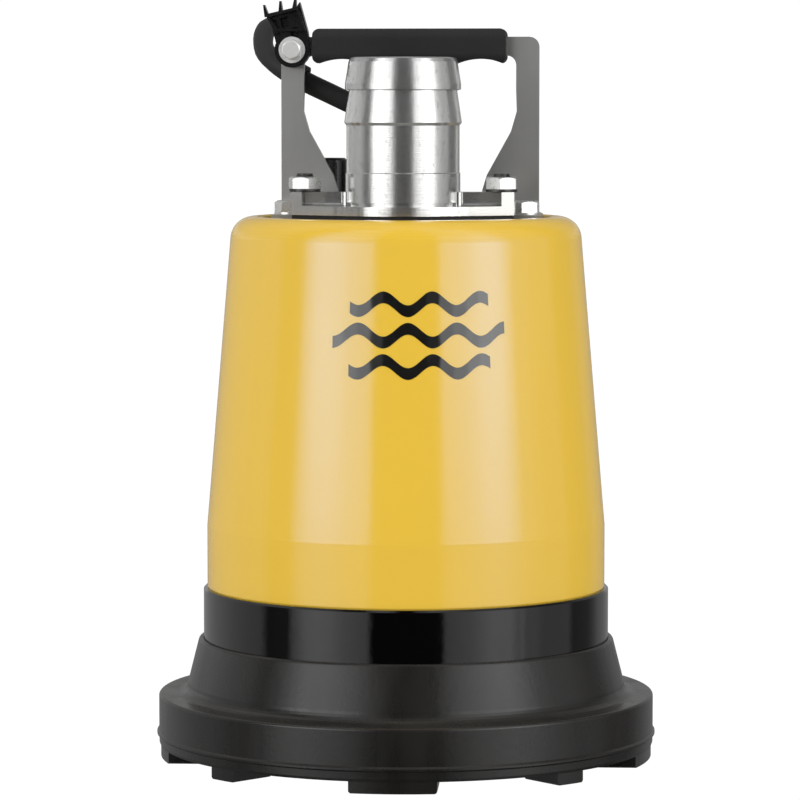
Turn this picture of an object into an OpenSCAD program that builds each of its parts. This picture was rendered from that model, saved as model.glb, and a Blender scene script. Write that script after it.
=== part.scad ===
// Submersible sump pump: a rubber puddle skirt, an annular water jacket round a wet motor and a
// hose tail with a flap valve on top. The origin is on the floor under the motor's axis, +Z is up
// and -Y is the front. All sizes are in millimetres.

/* [Skirt and feet] */
// How far the rubber skirt's flange stands out past its neck
flange_w = 13.2; // [8:0.1:20]
// Height of the rubber feet under the flange
foot_h = 5.2; // [3:0.1:10]
// Width of the front foot and the rear foot
foot_w = 38; // [20:1:60]
// Width of the foot at each side
side_foot_w = 78; // [20:1:90]
// Width of the four small feet between them
small_foot_w = 14.6; // [8:0.1:30]
// Turn of the feet about the axis in degrees
foot_turn = 1.5; // [-20:0.5:20]
// Thickness of the skirt's flange above the feet
flange_h = 23; // [18:0.1:28]
// How far the neck's foot stands out past the casing ring
neck_out = 7.1; // [5:0.1:9]
// Height of the neck's lip above the flange
neck_h = 24.8; // [20:0.1:30]
// Wall of the neck at its lip
lip_wall = 2.2; // [1.8:0.1:3]

/* [Suction side] */
// How far the perforated base plate stays inside the casing ring's outside
plate_margin = 5.2; // [4.5:0.1:7]
// Thickness of the base plate
plate_t = 2; // [1.5:0.1:4]
// How far the base plate sits up inside the skirt
plate_lift = 3; // [2:0.1:5]
// Radius of each strainer hole
strainer_hole_r = 3; // [1.5:0.1:3.5]
// Rings of strainer holes
strainer_rows = 5; // [3:1:5]
// Height of the suction chamber over the base plate
suction_h = 15.8; // [12:0.1:20]
// Width of the ledge that carries the wear plate round the suction chamber
ledge_w = 14; // [12:0.1:20]
// Thickness of the wear plate under the impeller
wear_t = 4; // [3:0.1:6]
// Radius of the wear plate's inlet eye
eye_r = 25; // [21:0.1:30]
// Number of base screws
base_screw_count = 8; // [4:1:12]

/* [Casing and shell] */
// Radius of the outer shell at its foot
shell_r = 89.5; // [80:0.1:100]
// How far the glossy casing ring stands out past the shell
casing_step = 1.7; // [0.5:0.1:4]
// Wall of the casing ring
casing_wall = 7.2; // [6:0.1:8]
// Height of the casing ring that shows above the skirt's lip
casing_band_h = 22.9; // [18:0.1:28]
// Wall of the outer shell
shell_wall = 2.5; // [2:0.1:3]
// Height of the shell's straight foot
shell_foot_h = 28.1; // [15:0.1:50]
// Taper of the shell in degrees
shell_taper = 4.78; // [3.5:0.01:5.2]
// Height of the whole shell
shell_h = 166.6; // [150:0.1:185]
// Radius of the shell's rounded shoulder
shoulder_r = 10.2; // [6:0.1:11]
// Width of the shell's rim, from its sloping side to its mouth
rim_w = 11.9; // [11.2:0.1:14]
// Depth of the cover's seat below the shell's lip
seat_depth = 7.5; // [6:0.1:9]
// Width of the cover's seat
seat_w = 3.5; // [3:0.1:5]

/* [Motor] */
// How far the motor housing stays inside the shell's mouth
can_margin = 7.5; // [6:0.1:9]
// Wall of the motor housing
can_wall = 3; // [2.5:0.1:4]
// Room between the upper bearing and the housing's head
head_room = 9; // [4:0.1:20]
// Radius of the stator's bore as a share of the motor housing's bore
bore_share = 0.5458; // [0.5:0.0002:0.57]
// Number of stator slots
slot_count = 12; // [6:1:18]
// Air gap between the rotor and the stator
air_gap = 0.4; // [0.3:0.05:0.8]
// Radius of the shaft through the rotor
shaft_r = 10; // [9.6:0.1:11]
// Radius of the shaft at the seals and the upper bearing
seal_shaft_r = 7.5; // [7:0.1:7.8]
// Radius of the shaft at the lower bearing
bearing_shaft_r = 8.5; // [8:0.1:9]
// Number of balls in each bearing
ball_count = 8; // [6:1:8]

/* [Impeller] */
// Width of the ring of water round the impeller
volute_w = 14; // [10:0.5:20]
// Height of the impeller's vanes
vane_h = 12.4; // [8:0.1:14]
// Number of impeller vanes
vane_count = 6; // [4:1:7]
// Gap between the vanes and the wear plate
vane_gap = 0.6; // [0.4:0.1:1.2]
// Number of guide vanes in the seal housing
guide_count = 8; // [4:4:8]

/* [Hose tail] */
// How far the hose tail sits in front of the motor's axis
tail_offset = 17; // [14:0.1:19]
// Height of the whole hose tail over its gasket
tail_h = 69.7; // [62:0.1:90]
// Radius of the hose tail's upper barb
barb_r = 25.75; // [25:0.05:26.5]
// Radius of the hose tail's lower barb
lower_barb_r = 26.1; // [25.6:0.05:26.6]
// Radius of the hose tail's water way
tail_bore_r = 20; // [17:0.1:21]
// Radius of the valve chamber at the hose tail's foot
chamber_r = 22.2; // [22:0.1:23]
// Thickness of the hose tail's flange
tail_flange_t = 4; // [3.5:0.1:6]
// Distance of each stud from the hose tail's axis
stud_spread = 43.8; // [42:0.1:46]
// How far each ear reaches past its stud
ear_reach = 5.9; // [5.5:0.1:8]
// Height of the webs and end posts under the stud nuts
boss_h = 10.2; // [9:0.1:14]
// Thickness of the valve gasket
valve_gasket_t = 4.5; // [3:0.1:6]
// Radius of the flap valve
flap_r = 18; // [16.5:0.1:18.2]
// Radius of the water hole under the flap
port_r = 15.5; // [12:0.1:16]

/* [Handle and grip] */
// How far the handle's plate sits behind the motor's axis
handle_offset = 24; // [23:0.1:26]
// Thickness of the handle's plate
handle_t = 4; // [3:0.1:5]
// How far each foot of the handle stands out past its leg
foot_flare = 1.8; // [0.5:0.1:6]
// Width of each leg
leg_w = 10.4; // [8:0.1:12]
// Height of the handle above the cover
handle_h = 83.9; // [78:0.1:110]
// Height of the handle's top bar
bar_h = 8.5; // [6:0.1:9]
// Room between each end of the rubber grip and the leg
grip_clear = 4.4; // [2:0.1:15]
// Depth of the grip from front to back
grip_depth = 19; // [14:0.1:19]
// Height of the grip
grip_h = 15.8; // [13:0.1:18]

/* [Fasteners and running fits] */
// Radius of the studs and cover bolts
bolt_r = 4; // [3.5:0.1:4]
// Radius of the base and housing screws
screw_r = 3; // [2.5:0.1:3]
// Radius of the clearance holes beyond their screws
hole_clearance = 0.3; // [0.2:0.05:0.4]
// Radial gap of threads and push fits
fit_gap = 0.05; // [0.02:0.01:0.08]
// Radial gap between large castings
casting_gap = 0.3; // [0.2:0.05:0.4]

/* [Cable] */
// Radius of the rubber cable
cable_r = 4.7; // [4.2:0.05:4.8]
// Mean radius of the stored coil
coil_mean_r = 76.5; // [70:0.5:76.5]
// Turns side by side in the coil
coil_columns = 5; // [3:1:5]
// Layers of turns in the coil
coil_layers = 4; // [3:1:4]

/* [Hidden] */
$fn = 48;

// Heights of the suction side, from the floor up
flange_top = foot_h + flange_h;
skirt_top = flange_top + neck_h;
casing_r = shell_r + casing_step;
neck_r = casing_r + neck_out;
skirt_r = neck_r + flange_w;
plate_r = casing_r - plate_margin;
plate_z = foot_h + plate_lift;
chamber_z = plate_z + plate_t;
wear_z = chamber_z + suction_h;
casing_z = wear_z + wear_t;
casing_top = skirt_top + casing_band_h;
bead_z = foot_h + 5.4;
small_foot_lean = 43;
feet = concat([[-90, foot_w], [90, foot_w], [0, side_foot_w], [180, side_foot_w]],
    [for (a = [-90, 90], s = [-1, 1]) [a + s * small_foot_lean, small_foot_w]]);
casing_flange_t = 5;
casing_bore_r = casing_r - casing_wall;
suction_r = casing_bore_r - ledge_w;
casing_flange_r = suction_r + 2;
spigot_r = shell_r - shell_wall - 0.2;
spigot_h = 9;
spigot_wall = 6.8;
groove_z = casing_top + 2;
groove_h = 3;
groove_depth = 2;
wear_r = casing_bore_r;
base_screw_ring_r = (casing_flange_r + wear_r) / 2 + 1;
base_screw_angle = 180 / base_screw_count;

// Impeller and seal housing, from the bottom up
impeller_r = suction_r - volute_w;
vane_z = casing_z + vane_gap;
shroud_z = vane_z + vane_h;
shroud_t = 3.5;
hub_top = shroud_z + shroud_t + 3;
hub_bottom = vane_z + 5.9;
housing_z = shroud_z + shroud_t + 3.5;
housing_plate_t = 4;
oil_top = housing_z + housing_plate_t + 20;
housing_top = oil_top + 6;
guide_z = housing_z + 6;
guide_top = housing_top - 8;
guide_tip_r = casing_bore_r - casting_gap;
shell_top_r = shell_r - (shell_h - shell_foot_h) * tan(shell_taper);
mouth_r = shell_top_r - rim_w;
seat_r = mouth_r - seat_w;
can_r = mouth_r - can_margin;
lug_ring_r = can_r + 7.5;
lug_r = 8;
lug_angles = [45, 135, 225, 315];

// Shell's top, cover and the head of the motor housing under it
shell_top = casing_top + shell_h;
seat_z = shell_top - seat_depth;
cover_gasket_t = 1;
cover_top = seat_z + cover_gasket_t + 3;
cover_t = 10;
cover_z = cover_top - cover_t;
water_gap = 15;
head_top = cover_z - water_gap;
head_t = 8;
head_z = head_top - head_t;
cover_r = mouth_r - casting_gap;
cover_plug_r = seat_r - casting_gap;

// Motor: the stator takes the height that its bearings and end turns leave
can_bore_r = can_r - can_wall;
stator_bore_r = bore_share * can_bore_r;
lower_bearing_w = 12;
upper_bearing_w = 11;
lower_bearing_top = housing_top + lower_bearing_w;
stator_z = housing_top + 20;
winding_h = 16;
upper_bearing_top = head_z - head_room;
upper_bearing_z = upper_bearing_top - upper_bearing_w;
stator_top = upper_bearing_z - winding_h;
stator_h = stator_top - stator_z;
winding_in_r = stator_bore_r + 3.4;
winding_out_r = can_bore_r - 5.5;

// Handle's width, from the room inside the shell's mouth
handle_y = handle_offset;
handle_back = handle_y + handle_t / 2;
foot_half_w = sqrt(cover_r * cover_r - handle_back * handle_back);
handle_half_w = foot_half_w - foot_flare;
grip_l = 2 * (handle_half_w - leg_w - grip_clear);

// Places of the fasteners on the cover
rear_bolt_ring_r = mouth_r - 13.4;
stud_places = [[-stud_spread, -tail_offset], [stud_spread, -tail_offset]];
front_bolts = [for (s = [-1, 1]) [s * (foot_half_w - 7.8), 7]];
rear_bolts = [for (a = [114, 55]) rear_bolt_ring_r * [cos(a), sin(a)]];
bolt_places = concat(front_bolts, rear_bolts);
pillar_r = 7;
washer_t = 1;
washer_r = 1.9 * bolt_r;
nut_flats = 3.25 * bolt_r;
nut_h = 1.35 * bolt_r;
tail_washer_t = 1.3;
tail_washer_r = 1.75 * bolt_r;
head_h = 1.32 * bolt_r;

// Cable glands on the cover
gland_place = [1, mouth_r - 26];
gland_thread_r = 10;
gland_flats = 24;
gland_turn = atan2(rear_bolts[0][1] - gland_place[1], rear_bolts[0][0] - gland_place[0]) + 30;
gland_body_h = 4.5;
gland_top = 12;
gland_way_r = 8;
spare_place = (mouth_r - 12.2) * [cos(136.5), sin(136.5)];
spare_thread_r = 6;
spare_flats = 17;
spare_turn = atan2(rear_bolts[0][1] - spare_place[1], rear_bolts[0][0] - spare_place[0]) + 30;
spare_r = 9;
spare_body_h = 13;
spare_top = 29;

// Hose tail
tail_y = -tail_offset;
tail_r = 31;
ear_end = stud_spread + ear_reach;
ear_end_half = 5.6;
tail_lean = flat_lean(tail_r, ear_end, ear_end_half);
gasket_top = cover_top + valve_gasket_t;
tail_top = gasket_top + tail_h;
boss_top = gasket_top + boss_h;
flap_t = 2.5;
flap_z = gasket_top + 0.3;
pin_r = 1.5;
pin_z = flap_z + flap_t + 1;
pin_y = tail_y + flap_r - 0.5;
pin_half_l = 15;
knuckle_r = 3;

// Handle, grip and cable clip
handle_top = cover_top + handle_h;
bar_z = handle_top - bar_h;
foot_reach = 30;
foot_inner = handle_half_w - 27.6;
grip_top = handle_top + 3.7;
grip_z = grip_top - grip_h;
groove_pitch = grip_l / 4.14;
groove_rise = 2.2;
clip_place = [-(handle_half_w - leg_w / 2 - 0.4), handle_top - 5.9];
clip_t = 6;
clip_bolt_r = 2.5;
clip_front = handle_y - handle_t / 2 - clip_t;
band_t = 1.6;

// The stored coil stands on the floor behind the skirt
coil_half_w = coil_columns * cable_r;
coil_h = coil_layers * 2 * cable_r;
coil_centre = [-17, skirt_r + 11.8 + coil_mean_r + coil_half_w];
coil_side_r = coil_mean_r + coil_half_w + cable_r + 0.8;

// Cable route, through hand-chosen points: up from the gland's mouth, round the left leg as seen
// from the clip's bolt, down behind the pump, and along the coil's side at two angles
GLAND_ROUTE = [[0, 0, 0], [-1, 0, 12], [-7, -1, 26], [-19, -3, 36.5]];
CLIP_ROUTE = [[19.1, 35, -21.4], [4.1, 34.5, -14.2], [-8.2, 38, -7.2], [-16, 46.5, 0.4],
    [-17.2, 59, 9], [-13.6, 73, 11.6], [-9.4, 88, 6.6], [-8.2, 101, -8.5], [-9, 106.5, -29],
    [-10, 107, -57]];
FALL_ROUTE = [[-63, 108, 200], [-63, 110, 120], [-64, 112, 60], [-67, 119, 30], [-75, 131, 12]];
COIL_ANGLES = [228, 216];
CABLE_ROUTE = concat([for (p = GLAND_ROUTE) p + [gland_place[0], gland_place[1], cover_top + gland_top]],
    [for (p = CLIP_ROUTE) p + [clip_place[0], 0, clip_place[1]]], FALL_ROUTE,
    [for (a = COIL_ANGLES) [coil_centre[0] + coil_side_r * cos(a),
        coil_centre[1] + coil_side_r * sin(a), cable_r + 0.75]]);
relief_steps = 10;
route_steps = 3;

// The cable's free end lies on the coil; its points are given from the middle of the coil's top
END_ROUTE = [[-62, -44, 5.1], [-73, -20, 5.1], [-76, 7, 5.1], [-69, 32, 6], [-54, 54, 10], [-36, 67, 16],
    [-21, 73, 20], [-11, 74, 21]];
TAIL_ROUTE = [for (p = END_ROUTE) p + [coil_centre[0], coil_centre[1], coil_h]];
plug_r = 20;

// Bearing sizes: [bore radius, outer radius, width, pitch radius, ball radius]
function bearing(bore_r, outer_r, w, ball_share) =
    [bore_r, outer_r, w, (bore_r + outer_r) / 2, ball_share * (outer_r - bore_r)];
upper_bearing = bearing(seal_shaft_r, 17.5, upper_bearing_w, 0.298);
lower_bearing = bearing(bearing_shaft_r, 20, lower_bearing_w, 0.293);
ball_gap = 0.12;

yellow = "#e6b83c";
black_rubber = "#343331";
gloss_black = "#161616";
cast_metal = "#c4c4c2";
steel = "#a9aaa8";
dark_steel = "#77787a";
zinc = "#dfe0e0";

// Points along an arc about c, from angle a to angle b
function arc(c, r, a, b, n = 6) =
    [for (i = [0:n]) let (t = a + (b - a) * i / n) [c[0] + r * cos(t), c[1] + r * sin(t)]];

// Direction of the flat from a circle's side to the corner of an ear that ends at x, as wide as half
function flat_lean(r, x, half) = atan2(half, x) + acos(r / norm([x, half]));

// Unit vector along v
function unit(v) = v / norm(v);

// Point at share t of the smooth span between b and c
function smooth(a, b, c, d, t) =
    0.5 * (2 * b + (c - a) * t + (2 * a - 5 * b + 4 * c - d) * t * t
    + (-a + 3 * b - 3 * c + d) * t * t * t);

// The smooth line through a route's points
function smooth_route(p, steps) = let (n = len(p) - 1)
    concat([for (i = [0:n - 1], j = [0:steps - 1])
        smooth(i == 0 ? 2 * p[0] - p[1] : p[i - 1], p[i], p[i + 1],
            i == n - 1 ? 2 * p[n] - p[n - 1] : p[i + 2], j / steps)], [p[n]]);

// Direction of a line of points at point i
function heading(p, i) = unit(p[min(i + 1, len(p) - 1)] - p[max(i - 1, 0)]);

// The part of v that stands square on t
function squared(v, t) = unit(v - (v * t) * t);

// A sideways direction at each point, carried along the line's ways without twist
function sideways(ways, first) =
    [for (i = 0, n = squared(first, ways[0]); i < len(ways);
        i = i + 1, n = squared(n, ways[min(i, len(ways) - 1)])) n];

// A solid of round section swept along points p, with a radius at each point. Its end faces
// stand square on the line, or on the directions given as its start and stop
module sweep(p, radii, sides = 10, first = [0, 1, 0.2], start = undef, stop = undef) {
    ways = [for (i = [0:len(p) - 1]) i == 0 && start != undef ? start
        : i == len(p) - 1 && stop != undef ? stop : heading(p, i)];
    side = sideways(ways, first);
    rings = [for (i = [0:len(p) - 1], k = [0:sides - 1])
        let (a = 360 * k / sides)
        p[i] + radii[i] * (cos(a) * side[i] + sin(a) * cross(ways[i], side[i]))];
    walls = [for (i = [0:len(p) - 2], k = [0:sides - 1])
        let (a = i * sides + k, b = i * sides + (k + 1) % sides)
        each [[a, b, a + sides], [b, b + sides, a + sides]]];
    low_end = [for (k = [0:sides - 1]) sides - 1 - k];
    high_end = [for (k = [0:sides - 1]) (len(p) - 1) * sides + k];
    polyhedron(rings, [for (f = concat(walls, [low_end, high_end]))
        [for (i = [len(f) - 1:-1:0]) f[i]]]);
}

// A straight tube with round walls
module tube(r_out, r_in, h) {
    difference() {
        cylinder(r = r_out, h = h);
        translate([0, 0, -1]) cylinder(r = r_in, h = h + 2);
    }
}

// A hexagon bar across flats
module hexagon(flats, h) {
    cylinder(d = flats / cos(30), h = h, $fn = 6);
}

// A hexagon nut or head with its corners turned off
module hex_head(flats, h) {
    intersection() {
        hexagon(flats, h);
        union() {
            cylinder(r = flats / cos(30) / 2 + 0.1, h = h * 0.82);
            translate([0, 0, h * 0.82])
                cylinder(r1 = flats / cos(30) / 2 + 0.1, r2 = flats * 0.46, h = h * 0.18);
        }
    }
}

// Copies of a piece on a ring
module around(count, r, start = 0) {
    for (i = [0:count - 1]) rotate(start + i * 360 / count) translate([r, 0, 0]) children();
}

// Copies of a piece at listed places
module at_places(places) {
    for (p = places) translate([p[0], p[1], 0]) children();
}

// Plan of one curved vane between radii r0 and r1, along a circle of radius bend about c
module vane_plan(r0, r1, c, bend, t) {
    intersection() {
        difference() {
            circle(r = r1);
            circle(r = r0);
        }
        translate(c) difference() {
            circle(r = bend + t / 2);
            circle(r = bend - t / 2);
        }
        rotate(atan2(c[1], c[0])) translate([0, -2 * r1]) square([2 * r1, 2 * r1]);
    }
}

// A round plate with an ear at each side, between tangent flats that run on to a square end
module ear_plate(r, end_x, end_half, h) {
    lean = flat_lean(r, end_x, end_half);
    wide = [r * cos(lean), r * sin(lean)] * 0.999;
    cylinder(r = r, h = h);
    linear_extrude(h) polygon([wide, [end_x, end_half], [end_x, -end_half], [wide[0], -wide[1]],
        -wide, [-end_x, -end_half], [-end_x, end_half], [-wide[0], wide[1]]]);
}

module rubber_skirt() {
    lip_r = casing_r + 0.2 + lip_wall;
    color(black_rubber) difference() {
        union() {
            rotate_extrude() polygon(concat(
                [[plate_r + casting_gap, foot_h], [skirt_r - 0.6, foot_h], [skirt_r - 0.1, foot_h + 1.2],
                [skirt_r, bead_z - 1.2], [skirt_r + 0.9, bead_z - 0.4], [skirt_r + 0.9, bead_z + 0.4],
                [skirt_r, bead_z + 1.2]],
                arc([skirt_r - 1.2, flange_top - 1.2], 1.2, 0, 90, 4),
                arc([neck_r + 5, flange_top + 5], 5, 270, 180),
                arc([lip_r - 1.4, skirt_top - 1.4], 1.4, 10, 90, 4),
                [[casing_r + 0.2, skirt_top], [casing_r + 0.2, casing_z],
                [wear_r + casting_gap, casing_z], [wear_r + casting_gap, wear_z],
                [suction_r, wear_z], [suction_r, chamber_z], [plate_r + casting_gap, chamber_z]]));
            for (f = feet) rotate(f[0] + foot_turn) foot(f[1]);
        }
        around(base_screw_count, base_screw_ring_r, base_screw_angle)
            cylinder(r = screw_r + hole_clearance, h = casing_z + 1);
    }
}

// One foot under the flange, with chamfered ends
module foot(w) {
    inner = plate_r + 3;
    outer = skirt_r - 0.8;
    chamfer = 0.8;
    intersection() {
        tube(outer, inner, foot_h + 1);
        rotate([90, 0, 90]) translate([0, 0, inner - 20]) linear_extrude(outer - inner + 20)
            polygon([[-w / 2 + chamfer, 0], [w / 2 - chamfer, 0], [w / 2, chamfer],
                [w / 2, foot_h + 1], [-w / 2, foot_h + 1], [-w / 2, chamfer]]);
    }
}

module base_plate() {
    ring_gap = (suction_r - 10) / strainer_rows;
    color(steel) translate([0, 0, plate_z]) linear_extrude(plate_t) difference() {
        circle(r = plate_r);
        for (k = [1:strainer_rows]) rotate(k * 7) around(5 * k + 1, k * ring_gap) circle(r = strainer_hole_r);
        around(base_screw_count, base_screw_ring_r, base_screw_angle)
            circle(r = screw_r + hole_clearance);
    }
}

module base_screws() {
    head = 3.2;
    color(zinc) around(base_screw_count, base_screw_ring_r, base_screw_angle)
        translate([0, 0, plate_z - head]) rotate_extrude()
            polygon([[0, 0], [screw_r + 1, 0], [screw_r + 2.2, head * 0.5], [screw_r + 2.2, head],
                [screw_r, head], [screw_r, head + casing_z + casing_flange_t - 0.5 - plate_z],
                [0, head + casing_z + casing_flange_t - 0.5 - plate_z]]);
}

module wear_plate() {
    color(cast_metal) difference() {
        translate([0, 0, wear_z]) rotate_extrude()
            polygon([[eye_r + 3, 0], [wear_r, 0], [wear_r, wear_t], [eye_r, wear_t], [eye_r, 2]]);
        around(base_screw_count, base_screw_ring_r, base_screw_angle)
            cylinder(r = screw_r + hole_clearance, h = casing_z + 1);
    }
}

module casing_ring() {
    ledge_r = spigot_r - spigot_wall;
    color(gloss_black) difference() {
        rotate_extrude() polygon([[casing_flange_r, casing_z], [casing_r, casing_z],
            [casing_r, casing_top - 0.8], [casing_r - 0.8, casing_top], [spigot_r, casing_top],
            [spigot_r, groove_z], [spigot_r - groove_depth, groove_z],
            [spigot_r - groove_depth, groove_z + groove_h], [spigot_r, groove_z + groove_h],
            [spigot_r, casing_top + spigot_h - 1], [spigot_r - 1, casing_top + spigot_h],
            [ledge_r, casing_top + spigot_h], [ledge_r, guide_top], [casing_bore_r, guide_top],
            [casing_bore_r, casing_z + casing_flange_t],
            [casing_flange_r, casing_z + casing_flange_t]]);
        translate([0, 0, casing_z - 1])
            around(base_screw_count, base_screw_ring_r, base_screw_angle)
                cylinder(r = screw_r + fit_gap, h = casing_flange_t + 2);
    }
}

module casing_o_ring() {
    space = groove_depth + 0.2;
    color(black_rubber) translate([0, 0, groove_z + groove_h / 2]) rotate_extrude()
        translate([spigot_r - groove_depth + space / 2, 0]) circle(r = space / 2 - fit_gap);
}

// Shell: straight foot, tapered side, rounded shoulder, and a well with a seat for the cover
module outer_shell() {
    cone_z = casing_top + shell_foot_h;
    cz = shell_top - shoulder_r;
    cx = shell_r - (cz + shoulder_r * sin(shell_taper) - cone_z) * tan(shell_taper)
        - shoulder_r * cos(shell_taper);
    well_r = mouth_r + shell_wall;
    inside = [for (p = arc([cx, cz], shoulder_r - shell_wall, 90, shell_taper, 8))
        if (p[0] > well_r + 0.3) p];
    color(yellow) rotate_extrude() polygon(concat(
        [[shell_r - shell_wall, casing_top], [shell_r - 0.4, casing_top], [shell_r, casing_top + 0.8],
        [shell_r, cone_z]],
        arc([cx, cz], shoulder_r, shell_taper, 90, 10),
        [[mouth_r + 0.8, shell_top], [mouth_r, shell_top - 0.8], [mouth_r, seat_z], [seat_r, seat_z],
        [seat_r, seat_z - shell_wall], [well_r, seat_z - shell_wall],
        [well_r, shell_top - shell_wall]],
        inside,
        [[shell_r - shell_wall, cone_z]]));
}

module cover_gasket() {
    color(black_rubber) translate([0, 0, seat_z]) tube(cover_r - 0.2, seat_r + 0.2, cover_gasket_t);
}

module top_cover() {
    color(cast_metal) difference() {
        union() {
            translate([0, 0, seat_z + cover_gasket_t]) rotate_extrude()
                polygon([[0, 0], [cover_r, 0], [cover_r, 2.2], [cover_r - 0.8, 3], [0, 3]]);
            translate([0, 0, cover_z]) cylinder(r = cover_plug_r, h = cover_t - 1);
        }
        translate([0, 0, cover_z - 1]) {
            translate([0, tail_y]) cylinder(r = port_r + 3, h = cover_t + 2);
            translate(gland_place) cylinder(r = gland_thread_r + fit_gap, h = cover_t + 2);
            translate(spare_place) cylinder(r = spare_thread_r + fit_gap, h = cover_t + 2);
            at_places(concat(stud_places, bolt_places))
                cylinder(r = bolt_r + hole_clearance, h = cover_t + 2);
        }
    }
}

module valve_gasket() {
    color(black_rubber) translate([0, tail_y, cover_top]) difference() {
        ear_plate(tail_r - 1, ear_end - 0.6, ear_end_half - 0.6, valve_gasket_t);
        translate([0, 0, -1]) cylinder(r = port_r, h = valve_gasket_t + 2);
        for (s = [-1, 1]) translate([s * stud_spread, 0, -1])
            cylinder(r = bolt_r + hole_clearance, h = valve_gasket_t + 2);
    }
}

// Cast hose tail: turned barbs, a two-eared flange, and a web and end post at each stud
module hose_tail() {
    root_r = 25.1;
    step = 0.35;
    undercut = 0.8;
    land = 2.5;
    flange_z = gasket_top + tail_flange_t;
    step_z = flange_z + 14.5;
    lower_z = tail_top - 28.8;
    upper_z = tail_top - 13;
    narrow_z = gasket_top + 23;
    color(cast_metal) difference() {
        union() {
            translate([0, tail_y, 0]) rotate_extrude() polygon([[0, gasket_top],
                [root_r - undercut, gasket_top], [root_r - undercut, flange_z + 1.6],
                [root_r + step, flange_z + 1.6], [root_r + step, step_z], [root_r, step_z + 0.4],
                [root_r, lower_z - 1.3], [lower_barb_r, lower_z], [barb_r - 1.7, upper_z - 1.7],
                [barb_r, upper_z - 1.2], [barb_r, upper_z - 1.2 + land], [barb_r - 1.55, tail_top - 2],
                [barb_r - 2.1, tail_top - 0.6], [barb_r - 3.2, tail_top], [0, tail_top]]);
            translate([0, tail_y, gasket_top]) ear_plate(tail_r, ear_end, ear_end_half, tail_flange_t);
            for (s = [0, 180]) translate([0, tail_y, gasket_top]) rotate(s) tail_web();
        }
        translate([0, tail_y, 0]) rotate_extrude() polygon([[0, gasket_top - 1],
            [chamber_r, gasket_top - 1], [chamber_r, narrow_z], [tail_bore_r, narrow_z + 4],
            [tail_bore_r, tail_top - 1.5], [tail_bore_r + 1, tail_top + 1], [0, tail_top + 1]]);
        translate([0, 0, gasket_top - 1]) at_places(stud_places)
            cylinder(r = bolt_r + hole_clearance, h = boss_h + 2);
        translate([-pin_half_l - 0.2, pin_y, pin_z]) rotate([0, 90, 0])
            cylinder(r = pin_r + fit_gap, h = 2 * pin_half_l + 0.4);
    }
}

// End post, filleted web and two round ribs from the tail's wall to one stud
module tail_web() {
    fillet = 2;
    web_half = 5.4;
    rib_r = 2.4;
    rib_x = 24.6;
    post_x = stud_spread + 0.5;
    intersection() {
        ear_plate(tail_r, ear_end, ear_end_half, boss_h);
        translate([post_x, -tail_r, 0]) cube([ear_end, 2 * tail_r, boss_h]);
    }
    translate([rib_x, 0, tail_flange_t]) rotate([90, 0, 90]) linear_extrude(post_x + 0.5 - rib_x)
        difference() {
            translate([-web_half - fillet, -1])
                square([2 * (web_half + fillet), boss_h - tail_flange_t + 1]);
            for (s = [-1, 1]) translate([s * (web_half + fillet), fillet + 0.3]) {
                circle(r = fillet);
                translate([-fillet, 0]) square([2 * fillet, boss_h]);
            }
        }
    for (s = [-1, 1]) translate([rib_x, s * (web_half - 0.4), 0]) cylinder(r = rib_r, h = boss_h);
}

module valve_flap() {
    hinge_gap = 0.08;
    color(black_rubber) difference() {
        union() {
            translate([0, tail_y, flap_z]) cylinder(r = flap_r, h = flap_t - 0.8);
            translate([0, tail_y, flap_z + flap_t - 0.8]) cylinder(r = flap_r - 3, h = 0.8);
            translate([0, tail_y, flap_z + flap_t]) cylinder(r = 3, h = 1.4);
            translate([-6, pin_y - 7, flap_z]) cube([12, 7, flap_t]);
            translate([-6, pin_y, pin_z]) rotate([0, 90, 0]) cylinder(r = knuckle_r, h = 12);
        }
        translate([-7, pin_y, pin_z]) rotate([0, 90, 0]) cylinder(r = pin_r + hinge_gap, h = 14);
    }
}

module valve_pin() {
    color(zinc) translate([-pin_half_l, pin_y, pin_z]) rotate([0, 90, 0])
        cylinder(r = pin_r, h = 2 * pin_half_l);
}

// Threaded rods, nuts and washers that hold the hose tail down
module tail_studs() {
    rod_end = boss_top + tail_washer_t + nut_h + 1.4;
    color(dark_steel) at_places(stud_places) translate([0, 0, head_top + 1]) {
        cylinder(r = bolt_r, h = rod_end - head_top - 1.8);
        translate([0, 0, rod_end - head_top - 1.8]) cylinder(r1 = bolt_r, r2 = bolt_r - 0.8, h = 0.8);
    }
}

module tail_nuts() {
    turns = [-10.5, 28.5];
    color(zinc) for (i = [0, 1])
        translate([stud_places[i][0], stud_places[i][1], boss_top + tail_washer_t]) difference() {
            rotate(turns[i]) hex_head(nut_flats, nut_h);
            translate([0, 0, -1]) cylinder(r = bolt_r + fit_gap, h = nut_h + 2);
        }
}

module tail_washers() {
    color(dark_steel) at_places(stud_places) translate([0, 0, boss_top])
        tube(tail_washer_r, bolt_r + hole_clearance, tail_washer_t);
}

// Height of the surface under each cover bolt: the handle's foot or the bare cover
function bolt_seat(i) = cover_top + (i < 2 ? handle_t : 0);

module cover_bolts() {
    color(zinc) for (i = [0:3]) translate([bolt_places[i][0], bolt_places[i][1], 0]) {
        translate([0, 0, head_top + 1]) cylinder(r = bolt_r, h = bolt_seat(i) + washer_t - head_top);
        translate([0, 0, bolt_seat(i) + washer_t]) rotate(i * 25) hex_head(nut_flats, head_h);
    }
}

module cover_washers() {
    color(zinc) for (i = [0:3]) translate([bolt_places[i][0], bolt_places[i][1], bolt_seat(i)])
        tube(washer_r, bolt_r + hole_clearance, washer_t);
}

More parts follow.
